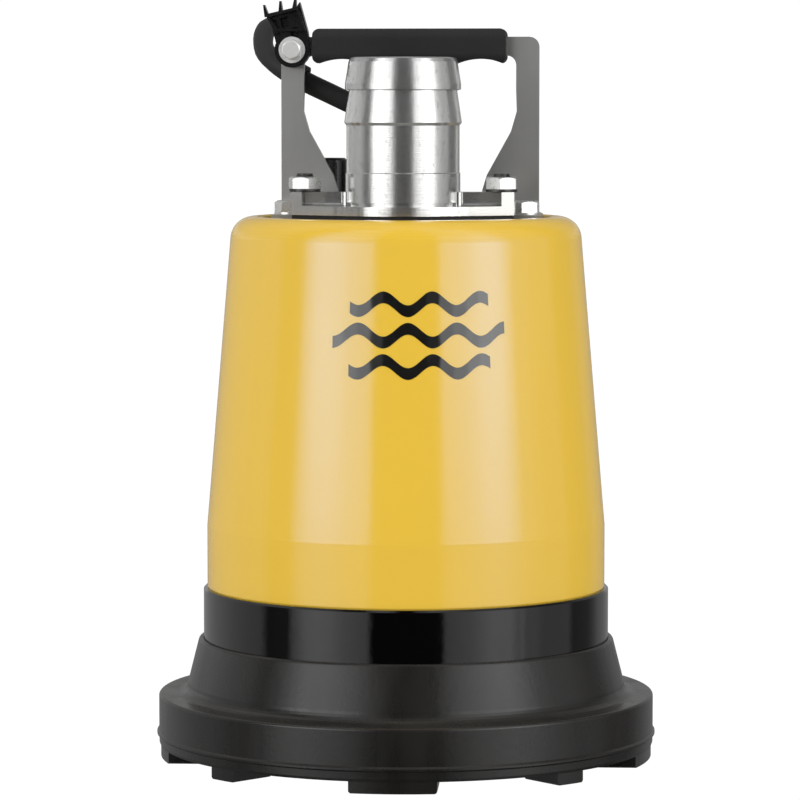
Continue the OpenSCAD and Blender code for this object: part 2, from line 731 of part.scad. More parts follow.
// Outline of the right half of the handle's plate, in X and Z
function handle_outline() = let (w = handle_half_w, n = handle_half_w - leg_w, z = cover_top,
        corner_r = min(5, grip_clear - 0.2))
    concat([[foot_inner, z], [foot_inner + 2, z + 15], [foot_inner + 4, z + 21.5],
        [n - 2.3, z + 41.2], [n + 0.3, z + 50.3], [n, z + 60]],
        arc([n - corner_r, bar_z - corner_r], corner_r, 0, 90, 5), [[-1, bar_z], [-1, handle_top]],
        arc([w - 4.5, handle_top - 4.5], 4.5, 90, 0, 5),
        [[w, z + handle_t + 1], [foot_half_w, z + handle_t], [foot_half_w, z]]);

// Outline of the right foot of the handle, with a corner cut along the hose tail's flange
function foot_outline() = let (front = handle_back - foot_reach, r = tail_r + 1,
        corner_y = tail_y + (r - foot_inner * cos(tail_lean)) / sin(tail_lean),
        corner_x = (r - (front - tail_y) * sin(tail_lean)) / cos(tail_lean))
    [[foot_inner, corner_y], [corner_x, front], [foot_half_w, front], [foot_half_w, handle_back],
        [foot_inner, handle_back]];

// Plate handle: two flared legs, a top bar, and feet bent forward onto the cover
module handle() {
    color(steel) difference() {
        union() {
            for (s = [0, 1]) mirror([s, 0, 0]) {
                translate([0, handle_back, 0]) rotate([90, 0, 0]) linear_extrude(handle_t)
                    polygon(handle_outline());
                translate([0, 0, cover_top]) linear_extrude(handle_t) polygon(foot_outline());
                translate([foot_inner, handle_y - handle_t / 2, cover_top + handle_t])
                    rotate([0, 90, 0]) bend_fillet(foot_half_w - foot_inner - 3);
            }
        }
        translate([0, 0, cover_top - 1]) at_places(front_bolts)
            cylinder(r = bolt_r + hole_clearance, h = handle_t + 2);
        translate([clip_place[0], handle_y + handle_t, clip_place[1]]) rotate([90, 0, 0])
            cylinder(r = clip_bolt_r + 0.1, h = 2 * handle_t);
    }
}

// The inside radius of a bend, as a small concave fillet along X
module bend_fillet(length, r = 3) {
    linear_extrude(length) difference() {
        translate([-r, -r]) square(r + 0.5);
        translate([-r, -r]) circle(r = r);
    }
}

// Grip: rounded rubber sleeve with four finger grooves, split by a slot for the bar
module handle_grip() {
    round_r = 4.5;
    groove_r = (pow(groove_pitch / 2, 2) + groove_rise * groove_rise) / (2 * groove_rise);
    color(black_rubber) difference() {
        intersection() {
            translate([0, handle_y + grip_depth / 2, 0]) rotate([90, 0, 0]) linear_extrude(grip_depth)
                difference() {
                    rounded_rectangle(grip_l, grip_z, grip_top, 3);
                    for (k = [-1.5:1:1.5])
                        translate([k * groove_pitch, grip_z + groove_rise - groove_r])
                            circle(r = groove_r);
                }
            translate([-grip_l, handle_y, 0]) rotate([90, 0, 90]) linear_extrude(2 * grip_l)
                rounded_rectangle(grip_depth, grip_z, grip_top, round_r);
        }
        translate([-grip_l, handle_y - handle_t / 2 - fit_gap, bar_z - fit_gap])
            cube([2 * grip_l, handle_t + 2 * fit_gap, bar_h + 2 * fit_gap]);
    }
}

// A rectangle of width w between heights low and high with round corners
module rounded_rectangle(w, low, high, r) {
    for (x = [-w / 2 + r, w / 2 - r], z = [low + r, high - r]) translate([x, z]) circle(r = r);
    translate([-w / 2 + r, low]) square([w - 2 * r, high - low]);
    translate([-w / 2, low + r]) square([w, high - low - 2 * r]);
}

// Moulded cable clip: an eye on the bolt and a fan of cells that end in three fins
module cable_clip() {
    x = clip_place[0];
    z = clip_place[1];
    color(gloss_black) translate([0, clip_front + clip_t, 0]) rotate([90, 0, 0]) difference() {
        union() {
            linear_extrude(clip_t) {
                translate(clip_place) circle(r = 8);
                polygon([[x - 7.4, z + 2], [x - 9, z + 9], [x - 12.1, z + 16], [x + 2, z + 19.2],
                    [x + 3.4, z + 21.5], [x + 5.3, z + 14.5], [x + 7.1, z + 8], [x + 8, z]]);
            }
            linear_extrude(clip_t + 3) difference() {
                fan_rim(0);
                fan_rim(1.3);
            }
            for (p = [[-11.6, 15, 104], [-5.3, 16.6, 92], [0.8, 18, 84]])
                translate([x + p[0], z + p[1], 0.5]) rotate(p[2]) linear_extrude(clip_t - 1)
                    polygon([[0, -1], [5.4, -0.35], [5.4, 0.35], [0, 1]]);
        }
        translate([x, z, -1]) cylinder(r = clip_bolt_r + 0.1, h = clip_t + 8);
        for (c = [[-8.6, 10.4], [-3.3, 11.8], [-6.6, 4.6], [1.2, 7.4]])
            translate([x + c[0], z + c[1] + 0.6, clip_t - 2.5]) rotate(14)
                translate([-1.9, -2.2]) cube([3.8, 4.4, 4]);
    }
}

// The raised rim of the clip's fan, taken in by an inset
module fan_rim(inset) {
    x = clip_place[0];
    z = clip_place[1];
    polygon([[x - 7.6 + inset, z + 8.2 + inset], [x - 11.8 + inset * 1.2, z + 16 - inset],
        [x + 2.2, z + 19.2 - inset], [x + 4 - inset, z + 17], [x + 6.6 - inset, z + 8.4 + inset]]);
}

module clip_bolt() {
    flange_t = 1.2;
    head = 4;
    color(zinc) translate([clip_place[0], clip_front, clip_place[1]]) rotate([90, 0, 0]) {
        cylinder(r = 5.95, h = flange_t);
        translate([0, 0, flange_t]) rotate(20) hex_head(8, head);
        translate([0, 0, -clip_t - handle_t - band_t - 5])
            cylinder(r = clip_bolt_r, h = clip_t + handle_t + band_t + 5.5);
    }
}

module clip_nut() {
    nut = 4;
    color(zinc) translate([clip_place[0], handle_back + band_t + nut, clip_place[1]])
        rotate([90, 0, 0]) difference() {
            hexagon(8, nut);
            translate([0, 0, -1]) cylinder(r = clip_bolt_r + fit_gap, h = nut + 2);
        }
}

// Where the cable passes behind the leg, and which way it runs there
band_place = smooth(CABLE_ROUTE[4], CABLE_ROUTE[5], CABLE_ROUTE[6], CABLE_ROUTE[7], 0.3);
band_way = unit(smooth(CABLE_ROUTE[4], CABLE_ROUTE[5], CABLE_ROUTE[6], CABLE_ROUTE[7], 0.4)
    - smooth(CABLE_ROUTE[4], CABLE_ROUTE[5], CABLE_ROUTE[6], CABLE_ROUTE[7], 0.2));

// Band behind the leg: a flat tab under the clip's nut and a loop round the cable
module cable_band() {
    loop_r = cable_r + 0.5;
    color(black_rubber) difference() {
        union() {
            translate([clip_place[0], handle_back + band_t, clip_place[1]]) rotate([90, 0, 0])
                cylinder(r = 5, h = band_t);
            translate([clip_place[0] - 4, handle_back, band_place[2]])
                cube([8, band_t, clip_place[1] - band_place[2]]);
            loop_at(loop_r + band_t, 7);
            translate([clip_place[0] - 3.4, handle_back, band_place[2] - 2])
                cube([6.8, band_place[1] - handle_back - 1, 4]);
        }
        loop_at(loop_r, 20);
        translate([clip_place[0], handle_back + 3, clip_place[1]]) rotate([90, 0, 0])
            cylinder(r = clip_bolt_r + 0.1, h = 6);
    }
}

// A round bar about the cable's line behind the leg
module loop_at(r, length) {
    translate(band_place)
        rotate([0, acos(band_way[2]), atan2(band_way[1], band_way[0])])
            translate([0, 0, -length / 2]) cylinder(r = r, h = length);
}

// Cable gland: screwed body, seal and cap nut round the cable's way in
module cable_gland() {
    color(black_rubber) translate([gland_place[0], gland_place[1], 0]) difference() {
        union() {
            translate([0, 0, cover_z]) cylinder(r = gland_thread_r, h = cover_t);
            translate([0, 0, cover_top]) rotate(gland_turn) hexagon(gland_flats, gland_body_h);
            translate([0, 0, cover_top]) cylinder(r = gland_thread_r + 0.5, h = gland_top - 1.5);
        }
        translate([0, 0, cover_z - 1]) cylinder(r = cable_r + 1, h = cover_t + gland_top);
        translate([0, 0, cover_top + 1]) cylinder(r = gland_way_r, h = gland_top);
    }
}

module gland_nut() {
    color(gloss_black) translate([gland_place[0], gland_place[1], cover_top + gland_body_h]) difference() {
        union() {
            rotate(gland_turn) hexagon(gland_flats, gland_top - gland_body_h - 1.5);
            cylinder(r = gland_flats / 2 - 0.4, h = gland_top - gland_body_h);
        }
        translate([0, 0, -1])
            cylinder(r = gland_thread_r + 0.5 + fit_gap, h = gland_top - gland_body_h - 0.4);
        cylinder(r = gland_way_r - 1, h = gland_top);
    }
}

module gland_seal() {
    color(black_rubber) translate([gland_place[0], gland_place[1], cover_top + 1]) difference() {
        union() {
            cylinder(r = gland_way_r - fit_gap, h = gland_top - 2.5);
            cylinder(r = gland_way_r - 1.1, h = gland_top - 1);
        }
        translate([0, 0, -1]) cylinder(r = cable_r + 1, h = gland_top - 3);
    }
}

// Spare gland for a level switch, closed with a ribbed plug
module spare_gland() {
    color(black_rubber) translate([spare_place[0], spare_place[1], 0]) difference() {
        union() {
            translate([0, 0, cover_z]) cylinder(r = spare_thread_r, h = cover_t);
            translate([0, 0, cover_top]) rotate(spare_turn) hexagon(spare_flats, 6);
            translate([0, 0, cover_top + 6]) cylinder(r = spare_r - 1.2, h = spare_body_h - 6);
        }
        translate([0, 0, cover_z - 1]) cylinder(r = 4, h = cover_t + spare_body_h + 2);
    }
}

module spare_plug() {
    cap_h = spare_top - spare_body_h;
    color(gloss_black) translate([spare_place[0], spare_place[1], cover_top + spare_body_h]) {
        rotate_extrude() polygon([[0, 0], [spare_r - 0.5, 0], [spare_r, 0.5], [spare_r, cap_h - 1],
            [spare_r - 1, cap_h], [0, cap_h]]);
        around(12, spare_r - 0.2) translate([-0.5, -0.6, 1]) cube([1, 1.2, cap_h - 3]);
    }
}

// Cast motor housing: the can, its head with the bearing seat, pillars and wire ducts, and lugs
module motor_housing() {
    color(cast_metal) difference() {
        union() {
            translate([0, 0, housing_top]) tube(can_r, can_bore_r, head_z - housing_top + 1);
            translate([0, 0, head_z]) cylinder(r = can_r, h = head_t);
            translate([0, 0, upper_bearing_z])
                cylinder(r = upper_bearing[1] + 4.5, h = head_z - upper_bearing_z + 1);
            translate([0, 0, head_top - 1]) {
                at_places(concat(stud_places, bolt_places)) cylinder(r = pillar_r, h = water_gap + 1);
                translate(gland_place) cylinder(r = gland_thread_r + 3, h = water_gap + 1);
                translate(spare_place) cylinder(r = spare_thread_r + 1.8, h = water_gap + 1);
            }
            translate([0, 0, housing_top]) for (a = lug_angles) rotate(a) {
                translate([lug_ring_r, 0, 0]) cylinder(r = lug_r, h = 12);
                translate([can_bore_r + 1, -lug_r, 0]) cube([lug_ring_r - can_bore_r - 1, 2 * lug_r, 12]);
            }
        }
        translate([0, 0, upper_bearing_z - 1])
            cylinder(r = upper_bearing[1] + fit_gap, h = upper_bearing_w + 2.5);
        translate([0, 0, upper_bearing_z]) cylinder(r = seal_shaft_r + 2, h = upper_bearing_w + 4);
        translate([0, 0, head_top + 1]) at_places(concat(stud_places, bolt_places))
            cylinder(r = bolt_r + fit_gap, h = water_gap);
        translate(concat(gland_place, head_z - 1)) cylinder(r = gland_way_r, h = head_t + water_gap + 2);
        translate(concat(spare_place, head_z - 1)) cylinder(r = 4, h = head_t + water_gap + 2);
        translate([0, 0, housing_top - 1]) for (a = lug_angles) rotate(a)
            translate([lug_ring_r, 0, 0]) cylinder(r = screw_r + fit_gap, h = 11);
    }
}

module housing_screws() {
    color(zinc) for (a = lug_angles) rotate(a) translate([lug_ring_r, 0, guide_z - 5]) {
        difference() {
            cylinder(r = screw_r + 2, h = 5);
            translate([0, 0, -1]) hexagon(5, 3.5);
        }
        translate([0, 0, 4.9]) cylinder(r = screw_r, h = housing_top - guide_z + 9);
    }
}

// Seal housing: oil chamber, lower bearing seat, centring spigot, guide vanes and screw bosses
module seal_housing() {
    bearing_seat_r = lower_bearing[1] + fit_gap;
    color(cast_metal) difference() {
        union() {
            rotate_extrude() polygon([[13.8, housing_z], [can_r - 3, housing_z], [can_r, housing_z + 3],
                [can_r, housing_top], [can_bore_r - 0.2, housing_top],
                [can_bore_r - 0.2, housing_top + 6], [can_bore_r - 4.5, housing_top + 6],
                [can_bore_r - 4.5, housing_top], [bearing_seat_r + 7, housing_top],
                [bearing_seat_r + 5.5, lower_bearing_top + 1], [bearing_seat_r, lower_bearing_top + 1],
                [bearing_seat_r, housing_top], [15.1, housing_top], [15.1, oil_top],
                [can_r - 5, oil_top], [can_r - 5, housing_z + housing_plate_t],
                [13.8, housing_z + housing_plate_t]]);
            translate([0, 0, guide_z]) linear_extrude(guide_top - guide_z)
                for (i = [0:guide_count - 1]) rotate(i * 360 / guide_count + 19)
                    vane_plan(can_r - 2, guide_tip_r, [can_r - 1, 40], 40, 4);
            for (a = lug_angles) rotate(a) translate([lug_ring_r, 0, guide_z])
                cylinder(r = lug_r, h = housing_top - guide_z);
            for (a = lug_angles) rotate(a) translate([can_r - 3, -4, guide_z])
                cube([lug_ring_r - can_r + 3, 8, housing_top - guide_z]);
        }
        for (a = lug_angles) rotate(a) translate([lug_ring_r, 0, guide_z - 1])
            cylinder(r = screw_r + hole_clearance, h = housing_top - guide_z + 2);
    }
}

// Mechanical seal: a seat in the housing, and a face and bellows that turn with the shaft
module seal_seat() {
    color("#8a5a3c") translate([0, 0, housing_z + 0.2]) tube(13.8 - fit_gap, seal_shaft_r + 0.8, 5.2);
}

seal_face_z = housing_z + 5.8;

module seal_face() {
    color("#3f3f42") translate([0, 0, seal_face_z]) tube(12, seal_shaft_r + fit_gap, 4);
}

module seal_bellows() {
    z = seal_face_z + 4;
    color(black_rubber) translate([0, 0, z]) rotate_extrude()
        polygon([[seal_shaft_r + fit_gap, 0], [12.4, 0], [12.4, 1.2], [10.4, 2.2], [12.4, 3.2],
            [12.4, 4.2], [10.4, 5.2], [12.4, 6.2], [12.4, 8], [seal_shaft_r + fit_gap, 8]]);
}

module lip_seal() {
    color(black_rubber) translate([0, 0, oil_top + 0.2]) rotate_extrude()
        polygon([[seal_shaft_r + 0.1, 2.4], [seal_shaft_r + 1.4, 0], [15.1 - fit_gap, 0],
            [15.1 - fit_gap, 5.5], [10.4, 5.5], [10.4, 3.6], [seal_shaft_r + 0.1, 3.2]]);
}

module stator_core() {
    color(dark_steel) translate([0, 0, stator_z]) linear_extrude(stator_h) difference() {
        circle(r = can_bore_r - fit_gap);
        circle(r = stator_bore_r);
        around(slot_count, 0) slot_plan(0);
    }
}

// Plan of one stator slot, taken in by a gap
module slot_plan(gap) {
    first = stator_bore_r + 4;
    last = can_bore_r - 9;
    translate([first + gap, -2.6 + gap]) square([last - first - 2 * gap, 5.2 - 2 * gap]);
    translate([stator_bore_r - 1, -1]) square([gap == 0 ? 6 : 0.01, gap == 0 ? 2 : 0]);
}

// Windings: a bar in each slot and a moulded ring of end turns at each end
module stator_windings() {
    inner = winding_in_r;
    outer = winding_out_r;
    color("#b5651d") {
        translate([0, 0, stator_z - 2]) linear_extrude(stator_h + 4)
            around(slot_count, 0) translate([stator_bore_r + 4.4, -2.2])
                square([can_bore_r - stator_bore_r - 13.8, 4.4]);
        for (z = [stator_z - 12, stator_top + 1]) translate([0, 0, z]) rotate_extrude()
            polygon([[inner + 2, 0], [outer - 2, 0], [outer, 2], [outer, 9], [outer - 2, 11],
                [inner + 2, 11], [inner, 9], [inner, 2]]);
    }
}

module thermal_switch() {
    middle_r = (winding_in_r + winding_out_r) / 2;
    color("#d9d4c4") translate([-8, -middle_r - 4, stator_top + 12]) cube([16, 8, 5]);
}

module terminal_block() {
    color("#e8e6df") translate([gland_place[0] + 13, gland_place[1] - 10, head_z - 10]) difference() {
        cube([16, 12, 10]);
        for (k = [0:2]) translate([3.5 + 4.5 * k, 6, -1]) cylinder(r = 1.4, h = 7);
    }
}

// Shaft, stepped for the nut, the impeller, the seals, the bearings and the rotor
module shaft() {
    tip = hub_bottom - 8;
    color(steel) rotate_extrude() polygon([[0, tip], [3.4, tip], [4, tip + 0.6], [4, hub_bottom + 0.5],
        [6, hub_bottom + 0.5], [6, hub_top], [seal_shaft_r, hub_top],
        [seal_shaft_r, housing_top - 0.2], [bearing_shaft_r, housing_top - 0.2],
        [bearing_shaft_r, lower_bearing_top], [shaft_r + 0.8, lower_bearing_top],
        [shaft_r + 0.8, lower_bearing_top + 2], [shaft_r, lower_bearing_top + 2],
        [shaft_r, upper_bearing_z - 6], [shaft_r - 1, upper_bearing_z], [seal_shaft_r, upper_bearing_z],
        [seal_shaft_r, upper_bearing_top + 1.2], [seal_shaft_r - 0.8, upper_bearing_top + 2],
        [0, upper_bearing_top + 2]]);
}

module rotor_core() {
    color(dark_steel) translate([0, 0, stator_z])
        tube(stator_bore_r - air_gap, shaft_r + fit_gap, stator_h);
}

module rotor_end_rings() {
    middle_r = (stator_bore_r + shaft_r) / 2;
    color(cast_metal) for (z = [stator_z - 5, stator_top]) translate([0, 0, z])
        tube(stator_bore_r - 2, middle_r - 3.15, 5);
}

// Ball bearing pieces, from b = [bore radius, outer radius, width, pitch radius, ball radius]
module bearing_outer_ring(b) {
    rotate_extrude() difference() {
        translate([b[3] + 0.62 * b[4], -b[2] / 2]) square([b[1] - b[3] - 0.62 * b[4], b[2]]);
        translate([b[3], 0]) circle(r = b[4] + ball_gap);
    }
}

module bearing_inner_ring(b) {
    rotate_extrude() difference() {
        translate([b[0] + fit_gap, -b[2] / 2]) square([b[3] - 0.62 * b[4] - b[0] - fit_gap, b[2]]);
        translate([b[3], 0]) circle(r = b[4] + ball_gap);
    }
}

module bearing_balls(b) {
    around(ball_count, b[3]) sphere(r = b[4]);
}

module bearing_cage(b) {
    difference() {
        translate([0, 0, -b[4] - 0.9]) tube(b[3] + 0.38 * b[4], b[3] - 0.38 * b[4], 2 * b[4] + 1.8);
        for (i = [0:ball_count - 1]) rotate(i * 360 / ball_count) rotate([0, 90, 0])
            cylinder(r = b[4] + 0.1, h = 2 * b[3]);
    }
}

// Middle heights of the two bearings
upper_mid = upper_bearing_z + upper_bearing_w / 2;
lower_mid = housing_top + lower_bearing_w / 2;

module upper_outer_ring() {
    color(zinc) translate([0, 0, upper_mid]) bearing_outer_ring(upper_bearing);
}

module upper_inner_ring() {
    color(zinc) translate([0, 0, upper_mid]) bearing_inner_ring(upper_bearing);
}

module upper_balls() {
    color(zinc) translate([0, 0, upper_mid]) bearing_balls(upper_bearing);
}

module upper_cage() {
    color("#b08d3c") translate([0, 0, upper_mid]) bearing_cage(upper_bearing);
}

module lower_outer_ring() {
    color(zinc) translate([0, 0, lower_mid]) bearing_outer_ring(lower_bearing);
}

module lower_inner_ring() {
    color(zinc) translate([0, 0, lower_mid]) bearing_inner_ring(lower_bearing);
}

module lower_balls() {
    color(zinc) translate([0, 0, lower_mid]) bearing_balls(lower_bearing);
}

module lower_cage() {
    color("#b08d3c") translate([0, 0, lower_mid]) bearing_cage(lower_bearing);
}

// Open impeller: backward-curved vanes under a shroud, with a keyed hub on the shaft
module impeller() {
    hub_r = 13;
    color(cast_metal) difference() {
        union() {
            translate([0, 0, shroud_z]) rotate_extrude()
                polygon([[0, 0], [impeller_r, 0], [impeller_r, 2], [impeller_r - 4, shroud_t],
                    [hub_r + 2, shroud_t], [hub_r, hub_top - shroud_z], [0, hub_top - shroud_z]]);
            translate([0, 0, hub_bottom]) cylinder(r = hub_r, h = shroud_z - hub_bottom + 1);
            translate([0, 0, vane_z]) linear_extrude(vane_h + 0.5)
                for (i = [0:vane_count - 1]) rotate(i * 360 / vane_count)
                    vane_plan(18, impeller_r - 0.5, [20, 36], 34, 3.2);
            translate([0, 0, hub_bottom]) linear_extrude(shroud_z - hub_bottom + 0.5)
                for (i = [0:vane_count - 1]) rotate(i * 360 / vane_count)
                    vane_plan(hub_r - 1, 19, [20, 36], 34, 3.2);
        }
        translate([0, 0, hub_bottom - 1]) cylinder(r = 6 + fit_gap, h = hub_top);
    }
}

module impeller_washer() {
    color(zinc) translate([0, 0, hub_bottom - 1.2]) tube(9, 4.2, 1.2);
}

module impeller_nut() {
    nut = 5.3;
    color(zinc) translate([0, 0, hub_bottom - 1.2 - nut]) difference() {
        hexagon(13, nut);
        translate([0, 0, -1]) cylinder(r = 4 + fit_gap, h = nut + 2);
    }
}

// The cable's line: its first part, in half steps, lies inside the bend relief
relief_line = smooth_route([for (i = [0:3]) CABLE_ROUTE[i]], 2 * route_steps);
cable_line = smooth_route(CABLE_ROUTE, route_steps);
relief_way = unit(relief_line[relief_steps + 1] - relief_line[relief_steps - 1]);

module cable_relief() {
    line = [for (i = [0:relief_steps]) relief_line[i]];
    color(black_rubber) sweep(line, [for (i = [0:relief_steps]) 6.6 - 1.5 * i / relief_steps], 12,
        start = [0, 0, 1], stop = relief_way);
}

module cable() {
    next = floor(relief_steps / 2) + 1;
    line = concat([relief_line[relief_steps]],
        [for (i = [next:len(cable_line) - 1]) cable_line[i]]);
    color(black_rubber) sweep(line, [for (p = line) cable_r], 10, start = relief_way);
}

module cable_coil() {
    color(black_rubber) translate([coil_centre[0], coil_centre[1], 0]) rotate_extrude()
        polygon([[coil_mean_r - coil_half_w, 2], [coil_mean_r - coil_half_w + 2, 0],
            [coil_mean_r + coil_half_w - 2, 0], [coil_mean_r + coil_half_w, 2],
            [coil_mean_r + coil_half_w, coil_h - 2], [coil_mean_r + coil_half_w - 2, coil_h],
            [coil_mean_r - coil_half_w + 2, coil_h], [coil_mean_r - coil_half_w, coil_h - 2]]);
}

module cable_tail() {
    line = smooth_route(TAIL_ROUTE, 2);
    color(black_rubber) sweep(line, [for (p = line) cable_r], 10, [0, 0, 1], stop = [1, 0, 0]);
}

// Two-pin rubber plug that lies on the coil, with its tapered cable sleeve
plug_start = TAIL_ROUTE[len(TAIL_ROUTE) - 1];

module plug_body() {
    color(black_rubber) translate(plug_start) rotate([0, 90, 0]) difference() {
        rotate_extrude() polygon([[0, 0], [5.6, 0], [7.6, 24], [12, 27], [13.5, 36], [14.5, 50],
            [18.6, 56], [plug_r, 58], [plug_r, 66], [plug_r - 1, 67], [0, 67]]);
        for (s = [-1, 1]) translate([-3, s * (plug_r + 1) - 2.5, 54]) cube([6, 5, 14]);
    }
}

module plug_pins() {
    color(zinc) translate(plug_start + [67, 0, 0]) for (s = [-1, 1]) translate([0, s * 9.5, 0])
        rotate([0, 90, 0]) rotate_extrude() polygon([[0, 0], [2.4, 0], [2.4, 17.5], [1.2, 19], [0, 19]]);
}

rubber_skirt();
base_plate();
base_screws();
wear_plate();
casing_ring();
casing_o_ring();
outer_shell();
cover_gasket();
top_cover();
valve_gasket();
hose_tail();
valve_flap();
valve_pin();
tail_studs();
tail_nuts();
tail_washers();
cover_bolts();
cover_washers();
handle();
handle_grip();
cable_clip();
clip_bolt();
clip_nut();
cable_band();
cable_gland();
gland_nut();
gland_seal();
spare_gland();
spare_plug();
motor_housing();
housing_screws();
stator_core();
stator_windings();
thermal_switch();
terminal_block();
shaft();
rotor_core();
rotor_end_rings();
upper_outer_ring();
upper_inner_ring();
upper_balls();
upper_cage();
lower_outer_ring();
lower_inner_ring();
lower_balls();
lower_cage();
seal_housing();
seal_seat();
seal_face();
seal_bellows();
lip_seal();
impeller();
impeller_nut();
impeller_washer();
cable_relief();
cable();
cable_coil();
cable_tail();
plug_body();
plug_pins();
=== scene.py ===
import math

import bpy
from mathutils import Matrix, Vector


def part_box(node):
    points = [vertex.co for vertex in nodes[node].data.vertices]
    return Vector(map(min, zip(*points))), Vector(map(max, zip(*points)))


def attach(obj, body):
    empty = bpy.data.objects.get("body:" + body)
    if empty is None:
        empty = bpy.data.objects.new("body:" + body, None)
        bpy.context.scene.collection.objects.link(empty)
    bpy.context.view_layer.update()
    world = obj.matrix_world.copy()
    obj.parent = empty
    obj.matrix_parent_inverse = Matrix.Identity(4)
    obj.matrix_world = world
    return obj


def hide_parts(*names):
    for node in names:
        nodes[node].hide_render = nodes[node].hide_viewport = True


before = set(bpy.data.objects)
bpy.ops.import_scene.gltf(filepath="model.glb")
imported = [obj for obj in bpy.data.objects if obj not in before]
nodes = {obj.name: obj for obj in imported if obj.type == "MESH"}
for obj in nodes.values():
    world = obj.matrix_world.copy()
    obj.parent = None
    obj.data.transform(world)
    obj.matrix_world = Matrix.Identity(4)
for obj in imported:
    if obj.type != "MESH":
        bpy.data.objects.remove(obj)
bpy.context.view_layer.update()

# ---------------------------------------------------------------------------------------------
# Camera. It stands a little to the pump's right, 0.29 m above the floor and 1.75 m away, and
# looks slightly down at the middle of the pump.
VIEW_TURN = math.radians(4.5)
VIEW_DISTANCE, VIEW_HEIGHT = 1.752, 0.2916
AIM_RIGHT, AIM_HEIGHT = -0.0027, 0.15975
camera_right = Vector((math.cos(VIEW_TURN), math.sin(VIEW_TURN), 0))
camera_back = Vector((math.sin(VIEW_TURN), -math.cos(VIEW_TURN), 0))
camera_data = bpy.data.cameras.new("studio_camera")
camera_data.sensor_width = 36.0
camera_data.lens = 175.7
camera = bpy.data.objects.new("studio_camera", camera_data)
bpy.context.scene.collection.objects.link(camera)
camera.location = camera_back * VIEW_DISTANCE + Vector((0, 0, VIEW_HEIGHT))
aim = camera_right * AIM_RIGHT + Vector((0, 0, AIM_HEIGHT))
camera.rotation_euler = (aim - camera.location).to_track_quat("-Z", "Y").to_euler()
bpy.context.scene.camera = camera
bpy.context.scene.view_settings.view_transform = "Standard"

# ---------------------------------------------------------------------------------------------
# Power cable. Round black rubber cable, 9.4 mm thick and 9.9 m long. It leaves the gland on the
# cover, passes behind the handle's left leg, loops over and drops down behind the pump, and the
# rest is stored in a flat coil of 19 turns on the floor, with the plug laid on top.
CABLE_R = 4.7
# The cable's way to the coil and from the coil to the plug, in millimetres, as are all lengths
# down to the bend relief's
CABLE_START = (1, 40, 246)
CABLE_ROUTE = [
    (1, 40, 251), (0, 40, 263), (-6, 39, 277), (-18, 37, 287.5), (-33.9, 35, 295.6),
    (-48.9, 34.5, 302.8), (-61.2, 38, 309.8), (-69, 46.5, 317.4), (-70.2, 59, 326),
    (-66.6, 73, 328.6), (-62.4, 88, 323.6), (-61.2, 101, 308.5), (-62, 106.5, 288),
    (-63, 107, 260), (-63, 108, 200), (-63, 110, 120), (-64, 112, 60), (-67, 119, 30),
    (-75, 131, 12), (-87.6, 144.9, 5.45), (-102.4, 161.3, 5.45),
]
TAIL_ROUTE = [
    (-79, 179.3, 42.7), (-90, 203.3, 42.7), (-93, 230.3, 42.7), (-86, 255.3, 43.6),
    (-71, 277.3, 47.6), (-53, 290.3, 53.6), (-38, 296.3, 57.6), (-28, 297.3, 58.6),
]
COIL_CENTRE = Vector((-17, 223.3, 0))
COIL_COLUMNS = [95.3, 85.9, 76.5, 67.1, 57.7]
COIL_START = 216
COIL_ENTRY = (105.5, CABLE_R + 0.75)
TURN_STEPS, COLUMN_SHIFT = 32, 50
LAST_RISE, RISE_FROM, RISE_OVER = 9.8, 245, 55
LAST_R, DRAW_IN_FROM, DRAW_IN_OVER = 76, 290, 66


def smooth_line(points, steps):
    """Points along the smooth line that passes through the given ones."""
    p = [Vector(q) for q in points]
    p = [2 * p[0] - p[1]] + p + [2 * p[-1] - p[-2]]
    line = []
    for a, b, c, d in zip(p, p[1:], p[2:], p[3:]):
        for j in range(steps):
            t = j / steps
            line.append(
                0.5 * (2 * b + (c - a) * t + (2 * a - 5 * b + 4 * c - d) * t * t
                       + (-a + 3 * b - 3 * c + d) * t ** 3))
    return line + [p[-2]]


def ease(t):
    """0 to 1, starting and ending slowly."""
    t = max(0.0, min(1.0, t))
    return t * t * (3 - 2 * t)


def coil_turns():
    """Radius and height of each turn: layer on layer, out and in by turns."""
    layers = [COIL_COLUMNS, COIL_COLUMNS[::-1], COIL_COLUMNS, COIL_COLUMNS[-2::-1]]
    return [(r, CABLE_R * (1 + 2 * k)) for k, layer in enumerate(layers) for r in layer]


def coil_line():
    """Clockwise turns; each changes column in its first degrees, and the last climbs on top."""
    turns = coil_turns()
    before = [COIL_ENTRY] + turns[:-1]
    line = []
    for i, ((r0, z0), (r1, z1)) in enumerate(zip(before, turns)):
        for j in range(TURN_STEPS):
            turn = 360 * j / TURN_STEPS
            part = ease(turn / COLUMN_SHIFT)
            r, z = r0 + (r1 - r0) * part, z0 + (z1 - z0) * part
            if i == len(turns) - 1:
                z += LAST_RISE * ease((turn - RISE_FROM) / RISE_OVER)
                r += (LAST_R - r1) * ease((turn - DRAW_IN_FROM) / DRAW_IN_OVER)
            angle = math.radians(COIL_START - turn)
            line.append(COIL_CENTRE + Vector((r * math.cos(angle), r * math.sin(angle), z)))
    return line


def curve_piece(name, points, radii, sides=4):
    """A round bar along points, with a radius at each."""
    data = bpy.data.curves.new(name, "CURVE")
    data.dimensions = "3D"
    data.bevel_depth = 1.0
    data.bevel_resolution = sides
    data.use_fill_caps = True
    spline = data.splines.new("POLY")
    spline.points.add(len(points) - 1)
    for point, place, r in zip(spline.points, points, radii):
        point.co = (place[0] / 1000, place[1] / 1000, place[2] / 1000, 1)
        point.radius = r / 1000
    piece = bpy.data.objects.new(name, data)
    bpy.context.scene.collection.objects.link(piece)
    return piece


